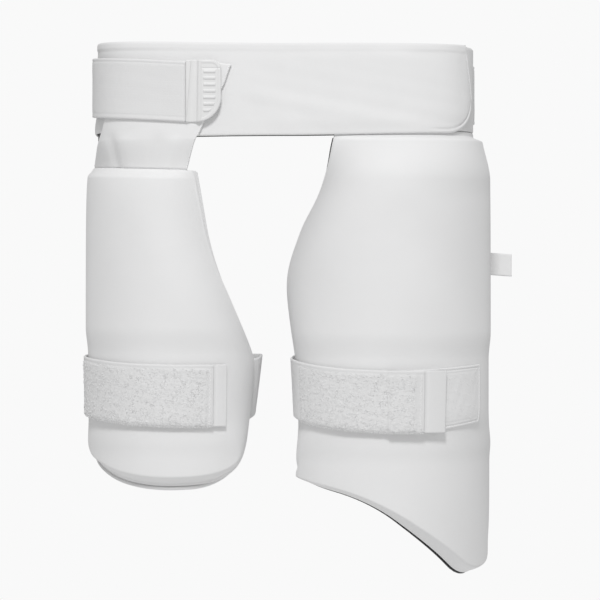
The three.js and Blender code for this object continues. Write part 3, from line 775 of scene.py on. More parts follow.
def tab_lower(along):
    return tab_middle - tab_height / 2 + corner_cut(tab_start + tab_length - along, 20.0)


along, height = band_grid(tab_start, tab_start + tab_length, 110, 130, tab_top, tab_lower, 0.5)
edge = rim_distance(along, height)
into, above = along - tab_start, height - tab_middle
# the welded band leans a little, and is hollow between its two edges
up_share = above / tab_height + 0.5
band_left, band_right = 0.3 + 3.7 * up_share, 8.8 + 1.3 * up_share
in_band = np.clip((into - band_left) / (band_right - band_left), 0, 1)
hollow = -1.8 * np.sin(np.pi * in_band) ** 0.5
ridge = hollow + 0.8 * bell(into, 10.6, 1.1) - 0.3 * bell(into, 8.6, 0.8)
# the panel is sunk, with ribs across it and one groove above them
panel = ease((into - 12.2) / 0.8) * ease((edge - 2.2) / 0.8)
rib_pitch, ribs_reach = 5.2, 17
rib_wave = ease((np.cos(2 * np.pi * above / rib_pitch) - 0.1) / 0.5)
grip = 0.75 * rib_wave * ease((edge - 4.2) / 0.8) * ease((into - 13.6) / 0.7) * (np.abs(above) < ribs_reach)
upper_groove = -0.4 * bell(above, 18.2, 0.45) * ease((into - 12.5) / 0.6)
relief = ridge - 0.45 * panel + grip + upper_groove
inner, outer = soft_edge(elastic_inner + 0 * along, elastic_inner + tab_thickness - 0.2 + relief, edge, 1.0)
tab = shell_object("closure_tab_moulding", waist, along, height, inner, outer)
finish_piece(tab, soft_moulded, "moulded_tab", "closure_tab")

# %% [markdown]
# The hanger is a panel of plain cloth between the belt and the inner pad. It lies flat on the belt, then drops
# free for a few centimetres, where it gathers into soft upright folds. Each fold is a smooth ridge that follows
# its own slanting line and fades towards the sewn edges.


# %% Hanger
hanger_top_height, hanger_foot = 22.6, 2.6
pad_inner = lining_outer + layer_gap
inner_pad_lean, inner_pad_width = 0.041, 200.0
inner_pad_left = -0.555 * inner_pad_width


def inner_pad_level(along, flat):
    return flat - inner_pad_lean * (along - inner_pad_left)


def hanger_share(height):
    fallen = np.clip((belt_bottom - belt_left_flare + 0.5 - height) / 22.0, 0, 1)
    return mix(fallen, ease(fallen), 0.45)


class HangerForm:
    # a straight slope from the waist to the top of the pad
    def place(self, along, height, offset):
        waist_x, waist_y = waist_ring.place(along + inner_leg.waist_along, offset)
        leg_x, leg_y = inner_leg.ring.place(along, offset)
        share = hanger_share(height)
        return np.stack([mix(waist_x, leg_x, share), mix(waist_y, leg_y, share), height + 0 * leg_x], axis=-1)


down, share = packed(84, 0.2)[:, None], packed(100, 0.5)[None, :]
bottom_left = inner_pad_level(-73.5, -inner_pad_drop) + layer_gap
bottom_right = inner_pad_level(11.0, -inner_pad_drop) + layer_gap
bend_down = (hanger_top_height - hanger_bend_top) / (hanger_top_height - bottom_left)
middle_height = mix(hanger_top_height, (bottom_left + bottom_right) / 2, down)
left_heights, left_places = [-60.5, -52, -42, -33, -22, 23], [-94, -82, -69, -62, -58, -57]
right_heights, right_places = [-64.8, -52.8, -39.3, -37, -26.5, 5.9, 22.6], [9.4, 13.4, 19, 20.8, 25.0, 41.0, 46.5]
left_edge = np.interp(middle_height, left_heights, left_places)
right_edge = np.interp(middle_height, right_heights, right_places)
along = mix(left_edge, right_edge, share)
top_height = hanger_top_height - 2.7 * ease((share - 0.8) / 0.2)
over_belt = mix(top_height, hanger_bend_top, down / bend_down)
free = mix(hanger_bend_top, mix(bottom_left, bottom_right, share), (down - bend_down) / (1 - bend_down))
height = np.where(down < bend_down, over_belt, free)
edge = rim_distance(along, height)
base = mix(hanger_inner, hanger_foot, hanger_share(height))
print("hanger grid:", along.shape)


def fold(start, end, width, size):
    run = np.array(end) - np.array(start)
    length = float(np.hypot(*run))
    forward = ((along - start[0]) * run[0] + (height - start[1]) * run[1]) / length**2
    aside = ((along - start[0]) * run[1] - (height - start[1]) * run[0]) / length
    fade = 0.25
    return size * bell(aside, 0, width) * ease(forward / fade) * ease((1 - forward) / fade + 0.4)


loose = ease((belt_bottom + 8 - height) / 14)
folds = (
    fold((-52, -28), (-47, -80), 5.0, -1.5)
    + fold((-38, -30), (-38, -80), 8.0, 0.8)
    + fold((-10, -30), (-20, -80), 5.5, -0.9)
    + fold((4, -34), (-8, -76), 4.5, 0.8)
)
inner, outer = soft_edge(base + folds * loose, base + hanger_thickness + folds * loose, edge, 1.1)
hanger = shell_object("hanger_panel_cloth", HangerForm(), along, height, inner, outer)
finish_piece(hanger, white_cloth, "face_cloth", "hanger_panel")
declare_sheet(hanger, along, height, "hung", ["waist_belt_cloth"])
hanger_grid = (along, height, outer)


# %% [markdown]
# The pads' outlines come from a short table of corners. A quadratic curve rounds each corner, the same way as
# in the solid model. Inside it we need a mesh whose rim lies exactly on the outline. Shrinking the outline
# ring by ring towards a middle point gives that, and the rings crowd near the rim, where the shape turns.


# %% Outline and rings
def rounded_outline(corners, width, height, top):
    spots = np.array([(across * width, top - down * height) for across, down, _ in corners])
    path = []
    for i, spot in enumerate(spots):
        follower = (i + 1) % len(spots)
        before, after = spots[i - 1] - spot, spots[follower] - spot
        # two neighbouring roundings share the side between them, so the outline never doubles back
        rounding, size_before, size_after = corners[i][2], np.hypot(*before), np.hypot(*after)
        room_before = size_before * rounding / (rounding + corners[i - 1][2]) - 0.3
        room_after = size_after * rounding / (rounding + corners[follower][2]) - 0.3
        entry = spot + before / size_before * min(rounding * width, room_before)
        leave = spot + after / size_after * min(rounding * width, room_after)
        for t in np.linspace(0, 1, 17):
            path.append((1 - t) ** 2 * entry + 2 * t * (1 - t) * spot + t**2 * leave)
    return np.array(path)


def disc_grid(outline, middle, around, rings):
    # rings[0] lies on the outline, the last ring is the middle
    closed = np.concatenate([outline, outline[:1]])
    walked = np.concatenate([[0], np.cumsum(np.hypot(*np.diff(closed, axis=0).T))])
    at = np.linspace(0, walked[-1], around, endpoint=False)
    rim = np.stack([np.interp(at, walked, closed[:, 0]), np.interp(at, walked, closed[:, 1])], axis=-1)
    inward = (np.arange(rings + 1) / rings)[:, None, None] ** 1.7
    spots = mix(rim[None], np.array(middle), inward)
    return spots[..., 0], spots[..., 1]


def disc_object(name, form, along, height, inner, outer):
    # the last ring is one point, so the rings end in triangles round it
    def spots(values):
        return np.concatenate([values[:-1].reshape(-1, values.shape[-1]), values[-1, :1]])

    rings, around = along.shape[0] - 1, along.shape[1]
    index = np.arange(rings * around).reshape(rings, around)
    after = np.roll(index, -1, axis=1)
    quads = np.stack([index[:-1], after[:-1], after[1:], index[1:]], axis=-1).reshape(-1, 4)
    cap = np.stack([index[-1], after[-1], np.full(around, rings * around)], axis=-1)
    outside, inside = (spots(form.place(along, height, offset)) for offset in (outer, inner))
    flat = spots(np.stack([along, height], axis=-1))
    return closed_object(name, outside, inside, flat, [quads, cap], index[0][::-1])


# %% [markdown]
# A pad is moulded foam under stretched cloth: a thin rim, a long smooth rise, and a nearly even top. The strap
# presses a shallow dent across it. The pad's `thickness` gives all of that from the distance to the outline,
# and the pieces that lie on the pad read their height from it too, so nothing floats or cuts in.


# %% Pad shape
strap_width, strap_thickness, strap_clearance = 49.0, 2.0, 0.8
shoulder_height, dent_depth = 8.0, 2.6


class Pad:
    def __init__(self, corners, width, height, top, lean, padding, edge_shape, strap_drop, tuck=None):
        self.rim, self.crown, self.bevel = padding
        self.flange, self.firmness, self.lower_turn = edge_shape
        self.low_crown = self.rim + 0.6 * (self.crown - self.rim)
        self.top, self.lean, self.strap_drop, self.tuck = top, lean, strap_drop, tuck
        self.outline = rounded_outline(corners, width, height, top)
        self.left, self.right = self.outline[:, 0].min(), self.outline[:, 0].max()
        self.line = np.concatenate([self.outline, self.outline[:1]])
        lifted = self.outline + np.array([0, 26.0]) * (self.outline[:, 1:] > top - 1.0)
        self.full_line = np.concatenate([lifted[::2], lifted[:1]])

    def level(self, along, flat):
        return flat - self.lean * (along - self.left)

    def flat_of(self, along, tall):
        return tall + self.lean * (along - self.left)

    def edge(self, along, tall):
        return by_blocks(pulled_gap, along, self.flat_of(along, tall), self.full_line)

    def rim_gap(self, along, tall):
        return by_blocks(plain_gap, along, self.flat_of(along, tall), self.line)

    def thickness(self, along, tall):
        edge = self.edge(along, tall)
        beyond = np.abs(tall + self.strap_drop) - strap_width / 2 - 2.0
        pressed = dent_depth * (1 - ease(beyond / 22.0)) * ease(edge / self.bevel)
        # below the strap the padding is flatter and turns down more sharply at its edge
        low = ease((-self.strap_drop - 12 - tall) / 46.0)
        nearest_is_lower = ease((self.edge(along, tall + 1.0) - edge - 0.35) / 0.5)
        beside = np.minimum(along - self.left, self.right - along)
        low_bevel = mix(0.3 * self.bevel, self.lower_turn, nearest_is_lower * ease((beside - 4) / 30))
        rise = np.clip((edge - self.flange) / mix(self.bevel, low_bevel, low), 0, 1)
        full = mix(ease(rise), 1 - (1 - rise) ** 2.2, self.firmness)
        shoulder = mix(0.3, 1.0, ease((self.top - self.flat_of(along, tall)) / shoulder_height))
        crown = mix(self.crown, self.low_crown, low)
        padding = self.rim + ((crown - self.rim) * full - pressed) * shoulder
        if self.tuck:
            thin, below, swell = self.tuck
            risen = 0.62 * ease((below - tall) / swell) + 0.38 * ease((below - tall) / (8 * swell))
            padding = mix(thin, padding, risen)
        return padding

    def limits(self, flat):
        line = self.line
        low, high = line[:-1, 1], line[1:, 1]
        crossed = ((low - flat) * (high - flat) <= 0) & (low != high)
        share = (flat - low[crossed]) / (high[crossed] - low[crossed])
        places = mix(line[:-1, 0][crossed], line[1:, 0][crossed], share)
        return places.min(), places.max()

    def covers(self, along, tall):
        flat = self.flat_of(along, tall)
        heights = np.linspace(self.line[:, 1].min() + 0.1, self.line[:, 1].max() - 0.1, 400)
        low, high = np.array([self.limits(level) for level in heights]).T
        within = (flat > heights[0]) & (flat < heights[-1])
        return within & (along >= np.interp(flat, heights, low)) & (along <= np.interp(flat, heights, high))


outer_corners = [
    (-0.177, 0.0, 0.015),
    (-0.222, 0.13, 0.13),
    (-0.53, 0.312, 0.11),
    (-0.404, 0.52, 0.12),
    (-0.37, 0.782, 0.05),
    (-0.07, 0.82, 0.12),
    (0.28, 1.0, 0.075),
    (0.455, 0.974, 0.09),
    (0.53, 0.865, 0.14),
    (0.53, 0.0, 0.04),
]
inner_corners = [
    (-0.555, 0.0, 0.03),
    (-0.555, 0.84, 0.12),
    (-0.49, 0.915, 0.13),
    (-0.14, 1.0, 0.16),
    (0.17, 0.98, 0.12),
    (0.33, 0.905, 0.11),
    (0.435, 0.59, 0.06),
    (0.305, 0.48, 0.12),
    (0.145, 0.27, 0.14),
    (0.078, 0.0, 0.02),
]
outer_strap_drop, inner_strap_drop = 244.0, 240.0
outer_pad_shape = Pad(
    outer_corners,
    width=240.0,
    height=outer_pad_height,
    top=pad_top,
    lean=0.0,
    padding=(3.0, 20.5, 52.0),
    edge_shape=(0.8, 0.7, 4.5),
    strap_drop=outer_strap_drop,
    tuck=(yoke_thickness, belt_bottom + 1.0, 4.5),
)
inner_pad_shape = Pad(
    inner_corners,
    width=inner_pad_width,
    height=257.0,
    top=-inner_pad_drop,
    lean=inner_pad_lean,
    padding=(2.6, 15.5, 40.0),
    edge_shape=(2.2, 0.5, 6.0),
    strap_drop=inner_strap_drop,
)

# %% [markdown]
# Each pad has a grid of rings inside its outline. The cloth behind a pad uses the same outline, grown a little
# outwards, so that it shows as a narrow rim, and cut straight where it meets the belt or the hanger.


# %% Pad helpers
def pad_grid(pad, middle, around, rings, grow=0.0, cut=None):
    outline = pad.outline
    if np.any(grow):
        run = np.roll(outline, -1, axis=0) - np.roll(outline, 1, axis=0)
        outward = np.stack([run[:, 1], -run[:, 0]], axis=-1) / np.maximum(np.hypot(*run.T), 1e-6)[:, None]
        if ((outline - outline.mean(axis=0)) * outward).sum() < 0:
            outward = -outward
        outline = outline + outward * np.broadcast_to(grow, len(outline))[:, None]
    if cut is not None:
        outline = np.stack([outline[:, 0], np.minimum(outline[:, 1], cut)], axis=-1)
    along, flat = disc_grid(outline, middle, around, rings)
    return along, pad.level(along, flat)


def ring_edge(along, height):
    return by_blocks(plain_gap, along, height, np.stack([along[0], height[0]], axis=-1)[::2])


def disc_area(along, height):
    rim_along, rim_height = along[0] * MM, height[0] * MM
    return float(abs((rim_along * np.roll(rim_height, -1) - rim_height * np.roll(rim_along, -1)).sum() / 2))


def make_pad(name, form, shape, grid, edge_radius, node):
    along, height = grid
    thick = shape.thickness(along, height)
    inner, outer = soft_edge(pad_inner + 0 * along, pad_inner + thick, shape.rim_gap(along, height), edge_radius)
    pad = disc_object(name, form, along, height, inner, outer)
    return finish_piece(pad, pad_cloth, "pad_cover", node)


# %% [markdown]
# The outer pad is the thick one, moulded so firmly that it keeps nearly all of its shape off the body.

# %% Outer pad
outer_middle, inner_middle = (20.0, -205.0), (-20.0, -200.0)
outer_rings = pad_grid(outer_pad_shape, outer_middle, 400, 90)
outer_pad = make_pad("outer_thigh_pad_cover", outer_leg, outer_pad_shape, outer_rings, 1.8, "outer_thigh_pad")
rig.padded(outer_pad, fill=0.9)

# %% [markdown]
# Its lining is dark cloth, grown a little past the pad's outline. It shows as a dark line under the lower edge,
# partly the lining's own colour and partly painted shade for the shadow under the pad's rim. One thin sheet on the
# leg's form makes it.

# %% Outer pad lining
# grown 1.1 mm past the outline: its dark rim is painted shade under the pad's edge, partly the lining's colour
along, height = pad_grid(outer_pad_shape, outer_middle, 300, 20, grow=1.1, cut=belt_bottom - 0.9)
inner, outer = soft_edge(0 * along, 0 * along + lining_outer, ring_edge(along, height), 0.8)
outer_lining_with_rim_shade = disc_object("outer_pad_lining_cloth", outer_leg, along, height, inner, outer)
finish_piece(outer_lining_with_rim_shade, lining_and_shade_cloth, "dark_lining", "outer_pad_lining")
declare_sheet(outer_lining_with_rim_shade, along, height, "stretched", ["outer_thigh_pad_cover"], disc_area)

# %% [markdown]
# The inner pad is thinner and softer, and is made in the same way with its own numbers.

# %% Inner pad
inner_rings = pad_grid(inner_pad_shape, inner_middle, 360, 84)
inner_pad = make_pad("inner_thigh_pad_cover", inner_leg, inner_pad_shape, inner_rings, 2.0, "inner_thigh_pad")
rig.padded(inner_pad, fill=0.8)

# %% [markdown]
# Its backing is a light cloth. Below the pad its edge is rolled forward into a bead, which shows as a pale rim
# and fades out to the right, where the pad covers the backing.

# %% Inner pad backing
rim_fades_from, rim_fade, backing_thickness = 58, 46, 1.2
rim_shows = ease((rim_fades_from - inner_pad_shape.outline[:, 0]) / rim_fade)
along, height = pad_grid(inner_pad_shape, inner_middle, 300, 40, grow=0.8 + 2.5 * rim_shows, cut=-inner_pad_drop)
edge = ring_edge(along, height)
rolled = 2.6 * ease((2.9 - edge) / 0.5) * ease((-276 - height) / 24) * ease((rim_fades_from - along) / rim_fade)
inner, outer = soft_edge(0 * along, backing_thickness + rolled, edge, 0.7)
inner_back = disc_object("inner_pad_backing_cloth", inner_leg, along, height, inner, outer)
finish_piece(inner_back, backing_cloth, "backing_cloth", "inner_pad_backing")
declare_sheet(inner_back, along, height, "stretched", ["inner_thigh_pad_cover"], disc_area)


# %% [markdown]
# Each leg strap is sewn behind its pad's right edge, runs round the back of the leg and comes over the front
# of the pad. Its height above the leg's form follows whatever is under it: bare leg, pad, or pad and patch.
# We look ahead and behind by a few centimetres, because a taut strap bridges the hollow beside an edge.

# %% Strap course
strap_reach, strap_ease, smoothing = 3.0, 16.0, 7
strap_parts, leg_taper = (-0.5, -0.25, 0.0, 0.25, 0.5), 0.12
patch_left, patch_width, patch_height, patch_drop = 4.0, 66.0, 48.0, 246.0
patch_thickness, patch_clearance = 1.2, 0.6
course_around = [0.0, 0.06, 0.13, 0.4, 0.58, 0.7, 0.76, 0.8, 0.84, 0.88, 0.93, 1.0]
course_fallen = [1.2, 0.7, -0.6, -0.4, -0.6, -0.85, -0.62, -0.33, 0.05, 0.4, 0.78, 1.03]


class Strap:
    def __init__(self, form, pad, drop, fall, end, has_patch):
        self.form, self.pad, self.drop, self.fall, self.has_patch = form, pad, drop, fall, has_patch
        self.right_edge = pad.limits(-drop)[1]
        self.start = self.right_edge - 24.0
        self.end = form.girth + end
        self.table_along = np.arange(self.start - strap_ease - 3, self.end + 45, 1.0)
        levels = np.stack([self.course_offset(part) for part in strap_parts])
        # a straight line across the strap, laid over the five levels, leans with them
        parts = np.array(strap_parts)[:, None]
        self.lean = (levels * parts).sum(axis=0) / (parts**2).sum()
        self.table_offset = (levels - self.lean * parts).max(axis=0)
        window = np.hanning(2 * smoothing + 1)
        self.lean = np.convolve(np.pad(self.lean, smoothing, "edge"), window / window.sum(), "valid")

    def course_offset(self, part):
        raw = self.surface(self.table_along, part)
        over = np.zeros_like(raw)
        for step in np.arange(-strap_ease, strap_ease + 1, 1.0):
            falling = np.clip(1 - (abs(step) - strap_reach) / (strap_ease - strap_reach), 0, 1)
            shifted = np.interp(self.table_along + step, self.table_along, raw)
            over = np.maximum(over, shifted * falling)
        leaving = ease((self.table_along - self.right_edge - 2) / strap_ease)
        sewn = -strap_thickness - strap_clearance
        round_leg = mix(sewn, layer_gap + 1.5 + leg_taper * strap_width * part, leaving)
        return np.where(over > 0, np.maximum(round_leg, over + strap_clearance), round_leg)

    def around(self, along):
        return (along - self.start) / (self.form.girth - self.start)

    def middle(self, along):
        return -self.drop - self.fall * np.interp(self.around(along), course_around, course_fallen)

    def half(self, along):
        # elastic narrows a little where it is pulled over the pad's edge
        return strap_width / 2 * np.interp(self.around(along), [0.5, 0.64, 0.8, 1.0], [1.0, 0.94, 0.98, 1.02])

    def upper(self, along):
        return self.middle(along) + self.half(along)

    def lower(self, along):
        return self.middle(along) - self.half(along)

    def surface(self, along, part):
        place = along - self.form.girth
        tall = self.middle(along) + part * strap_width
        on_patch = (place > patch_left - 1) & (place < patch_left + patch_width + 1) & self.has_patch
        layer = np.where(on_patch, patch_thickness + patch_clearance, 0.0)
        level = pad_inner + self.pad.thickness(place, tall) + layer
        return np.where(self.pad.covers(place, tall), level, 0.0)

    def offset(self, along, height):
        part = (height - self.middle(along)) / strap_width
        at = lambda values: np.interp(along, self.table_along, values)
        return at(self.table_offset) + at(self.lean) * part


outer_strap_way = Strap(outer_leg, outer_pad_shape, outer_strap_drop, 6.6, 21.5, True)
inner_strap_way = Strap(inner_leg, inner_pad_shape, inner_strap_drop + 1.2, 4.8, 25.5, False)
print("strap ends in millimetres:", round(outer_strap_way.end), round(inner_strap_way.end))

# %% [markdown]
# The front of a strap is brushed loop cloth, a little thicker and uneven, with a smooth border; the rest is
# plain elastic. One mesh with two materials keeps the weave running on. The lower edge is slightly wavy,
# because the loop cloth is overlocked to the elastic there.


# %% Straps
def make_strap(name, way, node, pad_piece, pile_length, plain_length):
    start, end = way.start, way.end
    pile_from, pile_to = way.form.girth - pile_length, end - plain_length
    along, height = band_grid(start, end, 420, 52, way.upper, way.lower, 0.15)
    edge = band_edge_distance(along, height, start, end + 9, way.upper, way.lower)
    from_top, from_low = way.upper(along) - height, height - way.lower(along)
    fuzzy = ease((along - pile_from) / 1.5) * ease((pile_to - along) / 2.5)
    fuzzy = fuzzy * ease((from_top - 2.8) / 1.2) * ease((from_low - 1.2) / 1.0)
    hem = -0.3 * bell(from_top, 3.2, 0.7) * (along > pile_from - 4)
    crumple = waves(along, height, 0.14, 9.0, 21) + waves(along, height, 0.35, 90.0, 12)
    inner = way.offset(along, height)
    pile_height, stitch_pitch = 0.45, 3.1
    top = inner + strap_thickness + hem + fuzzy * (pile_height + crumple)
    top = top + (1 - fuzzy) * waves(along, height, 0.15, 70, 9) - 0.4 * bell(along, pile_from - 0.8, 0.8)
    ripple = 0.35 * np.sin(2 * np.pi * along / stitch_pitch) * np.exp(-from_low / 1.5)
    height = height - ripple * (along > pile_from)
    inner, outer = soft_edge(inner, top, edge, 1.0)
    piece = shell_object(name, way.form, along, height, inner, outer)
    finish_piece(piece, elastic_cloth, "elastic_webbing", node)
    # the quads of the front face come first, and those in the fuzzy region get the second material
    piece.data.materials.append(loop_cloth)
    cell = 0.25 * (fuzzy[1:, 1:] + fuzzy[:-1, 1:] + fuzzy[1:, :-1] + fuzzy[:-1, :-1])
    front_cells = (cell > 0.5).ravel()
    slots = np.zeros(len(piece.data.polygons), np.int32)
    slots[: len(front_cells)] = front_cells
    piece.data.polygons.foreach_set("material_index", slots)
    declare_sheet(piece, along, height, "stretched", [pad_piece])
    way.grid, way.pile_from = (along, height, outer, fuzzy), pile_from


make_strap("outer_thigh_strap_band", outer_strap_way, "outer_thigh_strap", "outer_thigh_pad_cover", 65, 4)
make_strap("inner_thigh_strap_band", inner_strap_way, "inner_thigh_strap", "inner_thigh_pad_cover", 84, 3)


# %% [markdown]
# The last centimetre of each strap is welded smooth, so that it can be found and lifted with a glove on. It
# goes on along the strap's own course, with a shallow groove where it joins.


# %% Strap ends
def make_end(name, way, node, length):
    start, end = way.end + 0.05, way.end + length
    along, height = band_grid(start, end, 30, 50, way.upper, way.lower)
    edge = np.minimum(end - along, np.minimum(height - height[-1], height[0] - height))
    inner = way.offset(along, height)
    inner, outer = soft_edge(inner, inner + 1.5 - 0.3 * bell(along, start + 1.5, 0.8), edge, 0.7)
    finish_piece(shell_object(name, way.form, along, height, inner, outer), smooth_end, "smooth_end", node)


make_end("outer_strap_smooth_end", outer_strap_way, "outer_strap_end_tab", 14.5)
make_end("inner_strap_smooth_end", inner_strap_way, "inner_strap_end_tab", 10.0)

# %% [markdown]
# The outer strap closes on a square of loop cloth that is sewn to the pad. It is a small shell that reads the
# pad's thickness under it, and two grooves run round it where its stitches pull it down.

# %% Loop patch
patch_gap, patch_face, patch_tilt_from = 0.15, 1.3, 38


def patch_top(along):
    return -patch_drop + patch_height / 2 - 1.9 + 0.083 * (along - patch_tilt_from)


def patch_lower(along):
    return -patch_drop - patch_height / 2 - 3.2 + 0.16 * np.maximum(along - patch_tilt_from, 0)


along, height = band_grid(patch_left, patch_left + patch_width, 84, 64, patch_top, patch_lower)
edge = rim_distance(along, height)
under = pad_inner + outer_pad_shape.thickness(along, height) + patch_gap
seam = -0.5 * bell(edge, 2.2, 0.6) - 0.25 * bell(edge, 4.6, 0.6)
face = under + patch_face + seam + waves(along, height, 0.2, 14, 30) * ease((edge - 4) / 2)
inner, outer = soft_edge(under, face, edge, 0.8)
patch = shell_object("outer_loop_patch_cloth", outer_leg, along, height, inner, outer)
finish_piece(patch, white_cloth, "loop_cloth", "outer_loop_patch")
patch_grid = (along, height, outer)
declare_sheet(patch, along, height, "laid", ["outer_thigh_pad_cover"])

# %% [markdown]
# The size label is a short loop of woven tape that stands out from behind the outer pad's edge. It is left
# blank. It curls a little away from the body, which a few rows of points along its length can show.

# %% Size label
label_length, label_width, label_thickness, label_height = 33.0, 18.5, 0.9, -139.0
label_edge = outer_pad_shape.limits(label_height)[1]
seat = outer_leg.place(np.array(label_edge), np.array(label_height), np.array(pad_inner))


class LabelForm:
    def place(self, along, height, offset):
        share = along / label_length
        away = layer_gap + label_thickness / 2 + 0.9 * np.sin(np.pi * share) - 0.8 * share**2
        return np.stack([seat[0] + along, seat[1] + away - offset, seat[2] + height - 0.07 * along + 0.6], axis=-1)


along, height = np.meshgrid(np.linspace(0, label_length, 34), label_width * np.linspace(-0.5, 0.5, 16))
half = label_thickness / 2 * (1 - 0.55 * np.maximum(0.0, along - label_length + 1.5) / 1.5)
label = shell_object("size_label_tape", LabelForm(), along, height, -half, half)
finish_piece(label, label_tape, "label_tape", "size_label")


# %% [markdown]
# Seams and looped pile are hundreds of copies of one small thing, so they are Geometry Nodes. A seam starts as
# a row of points on the cloth, each with the way the seam runs and the way the cloth faces. The nodes put one
# short stitch on each point, turned to both, and can lean every second stitch the other way for a zigzag.


# %% Stitch nodes
def read_attribute(tree, name, kind):
    inputs = {"Name": name}
    return add_node(tree, "GeometryNodeInputNamedAttribute", inputs, data_type=kind).outputs["Attribute"]


def turned_to(tree, inputs, axis, pivot):
    node = add_node(tree, "FunctionNodeAlignRotationToVector", inputs, axis=axis, pivot_axis=pivot)
    return node.outputs["Rotation"]


def turned_by(tree, rotation, more):
    inputs = {"Rotation": rotation, "Rotate By": more}
    return add_node(tree, "FunctionNodeRotateRotation", inputs, rotation_space="LOCAL").outputs[0]


def end_group(tree, points, instance, rotation, material, group_out):
    inputs = {"Points": points, "Instance": instance, "Rotation": rotation}
    copies = add_node(tree, "GeometryNodeInstanceOnPoints", inputs).outputs[0]
    realized = add_node(tree, "GeometryNodeRealizeInstances", {"Geometry": copies}).outputs[0]
    painted = add_node(tree, "GeometryNodeSetMaterial", {"Geometry": realized, "Material": material})
    tree.links.new(painted.outputs[0], group_out["Geometry"])


sewing, sewing_in, sewing_out = new_group(
    "GeometryNodeTree",
    "thread_stitches",
    {
        "Geometry": "Geometry",
        "Stitch length": "Float",
        "Thread width": "Float",
        "Lean": "Float",
        "Material": "Material",
    },
    {"Geometry": "Geometry"},
)
ball = add_node(sewing, "GeometryNodeMeshUVSphere", {"Segments": 6, "Rings": 5, "Radius": 0.5}).outputs["Mesh"]
thread_width = sewing_in["Thread width"]
size = add_node(sewing, "ShaderNodeCombineXYZ", {0: sewing_in["Stitch length"], 1: thread_width, 2: thread_width})
stitch = add_node(sewing, "GeometryNodeTransform", {"Geometry": ball, "Scale": size.outputs[0]}).outputs[0]
facing = turned_to(sewing, {"Vector": read_attribute(sewing, "up", "FLOAT_VECTOR")}, "Z", "AUTO")
along_run = {"Rotation": facing, "Vector": read_attribute(sewing, "run", "FLOAT_VECTOR")}
number = sewing.nodes.new("GeometryNodeInputIndex").outputs[0]
side = add_math(sewing, "SUBTRACT", add_math(sewing, "MULTIPLY", add_math(sewing, "MODULO", number, 2.0), 2.0), 1.0)
lean = {"Axis": (0, 0, 1), "Angle": add_math(sewing, "MULTIPLY", side, sewing_in["Lean"])}
spin = add_node(sewing, "FunctionNodeAxisAngleToRotation", lean).outputs[0]
leaned = turned_by(sewing, turned_to(sewing, along_run, "X", "Z"), spin)
end_group(sewing, sewing_in["Geometry"], stitch, leaned, sewing_in["Material"], sewing_out)


# %% [markdown]
# The looped pile of the straps is the other half of a touch fastener: soft nylon loops that hooks grip. Loops
# are scattered over the strap's face with a fixed seed, more of them where a weight says so, each one a small
# arch of thread that leans at random.

# %% Loop nodes
looping, looping_in, looping_out = new_group(
    "GeometryNodeTree",
    "scattered_loops",
    {
        "Geometry": "Geometry",
        "Loops per area": "Float",
        "Loop radius": "Float",
        "Thread width": "Float",
        "Material": "Material",
    },
    {"Geometry": "Geometry"},
)
weight = read_attribute(looping, "weight", "FLOAT")
density = add_math(looping, "MULTIPLY", looping_in["Loops per area"], weight)
ground = {"Mesh": looping_in["Geometry"], "Density": density, "Seed": 7}
scatter = add_node(looping, "GeometryNodeDistributePointsOnFaces", ground).outputs
bow = {"Resolution": 6, "Start Angle": -0.3, "Sweep Angle": math.pi + 0.6, "Radius": looping_in["Loop radius"]}
arch = add_node(looping, "GeometryNodeCurveArc", bow).outputs[0]
thread_radius = add_math(looping, "MULTIPLY", looping_in["Thread width"], 0.5)
ring = add_node(looping, "GeometryNodeCurvePrimitiveCircle", {"Resolution": 3, "Radius": thread_radius}).outputs[0]
tube = add_node(looping, "GeometryNodeCurveToMesh", {"Curve": arch, "Profile Curve": ring}).outputs[0]
upright = {"Geometry": tube, "Rotation": (math.pi / 2, 0, 0)}
loop = add_node(looping, "GeometryNodeTransform", upright).outputs[0]
bounds = {"Min": (-1.0, -1.0, -3.1), "Max": (1.0, 1.0, 3.1), "Seed": 3}
wild = add_node(looping, "FunctionNodeRandomValue", bounds, data_type="FLOAT_VECTOR").outputs["Value"]
toss = add_node(looping, "FunctionNodeEulerToRotation", {0: wild}).outputs[0]
tossed = turned_by(looping, scatter["Rotation"], toss)
end_group(looping, scatter["Points"], loop, tossed, looping_in["Material"], looping_out)


# %% [markdown] The nodes run once, on a mesh of points or on a patch of cloth, and their result is kept as a
# plain mesh. A seam's points stand at an even pitch along a line on the cloth.


# %% Grow helpers
def grown(name, mesh, tree, values, slot):
    piece = bpy.data.objects.new(name, mesh)
    bpy.context.scene.collection.objects.link(piece)
    modifier = piece.modifiers.new("grown", "NODES")
    modifier.node_group = tree
    for item in tree.interface.items_tree:
        if item.in_out == "INPUT" and item.name in values:
            modifier[item.identifier] = values[item.name]
    evaluated = piece.evaluated_get(bpy.context.evaluated_depsgraph_get())
    made = bpy.data.meshes.new_from_object(evaluated)
    piece.modifiers.clear()
    piece.data = made
    made.name = name
    made.polygons.foreach_set("use_smooth", [True] * len(made.polygons))
    return declare_piece(piece, slot)


def seam_path(form, along, height, level, pitch):
    along, height = np.atleast_1d(along) * 1.0, np.atleast_1d(height) * 1.0
    spots, lifted = form.place(along, height, level), form.place(along, height, level + 1.0)
    walked = np.concatenate([[0], np.cumsum(np.linalg.norm(np.diff(spots, axis=0), axis=1))])
    at = np.arange(pitch / 2, walked[-1], pitch)
    even = lambda values: np.stack([np.interp(at, walked, values[:, i]) for i in range(3)], axis=-1)
    place, up = even(spots), even(lifted - spots)
    run = np.gradient(place, axis=0)
    unit = lambda values: values / np.linalg.norm(values, axis=1)[:, None]
    return place, unit(run), unit(up)


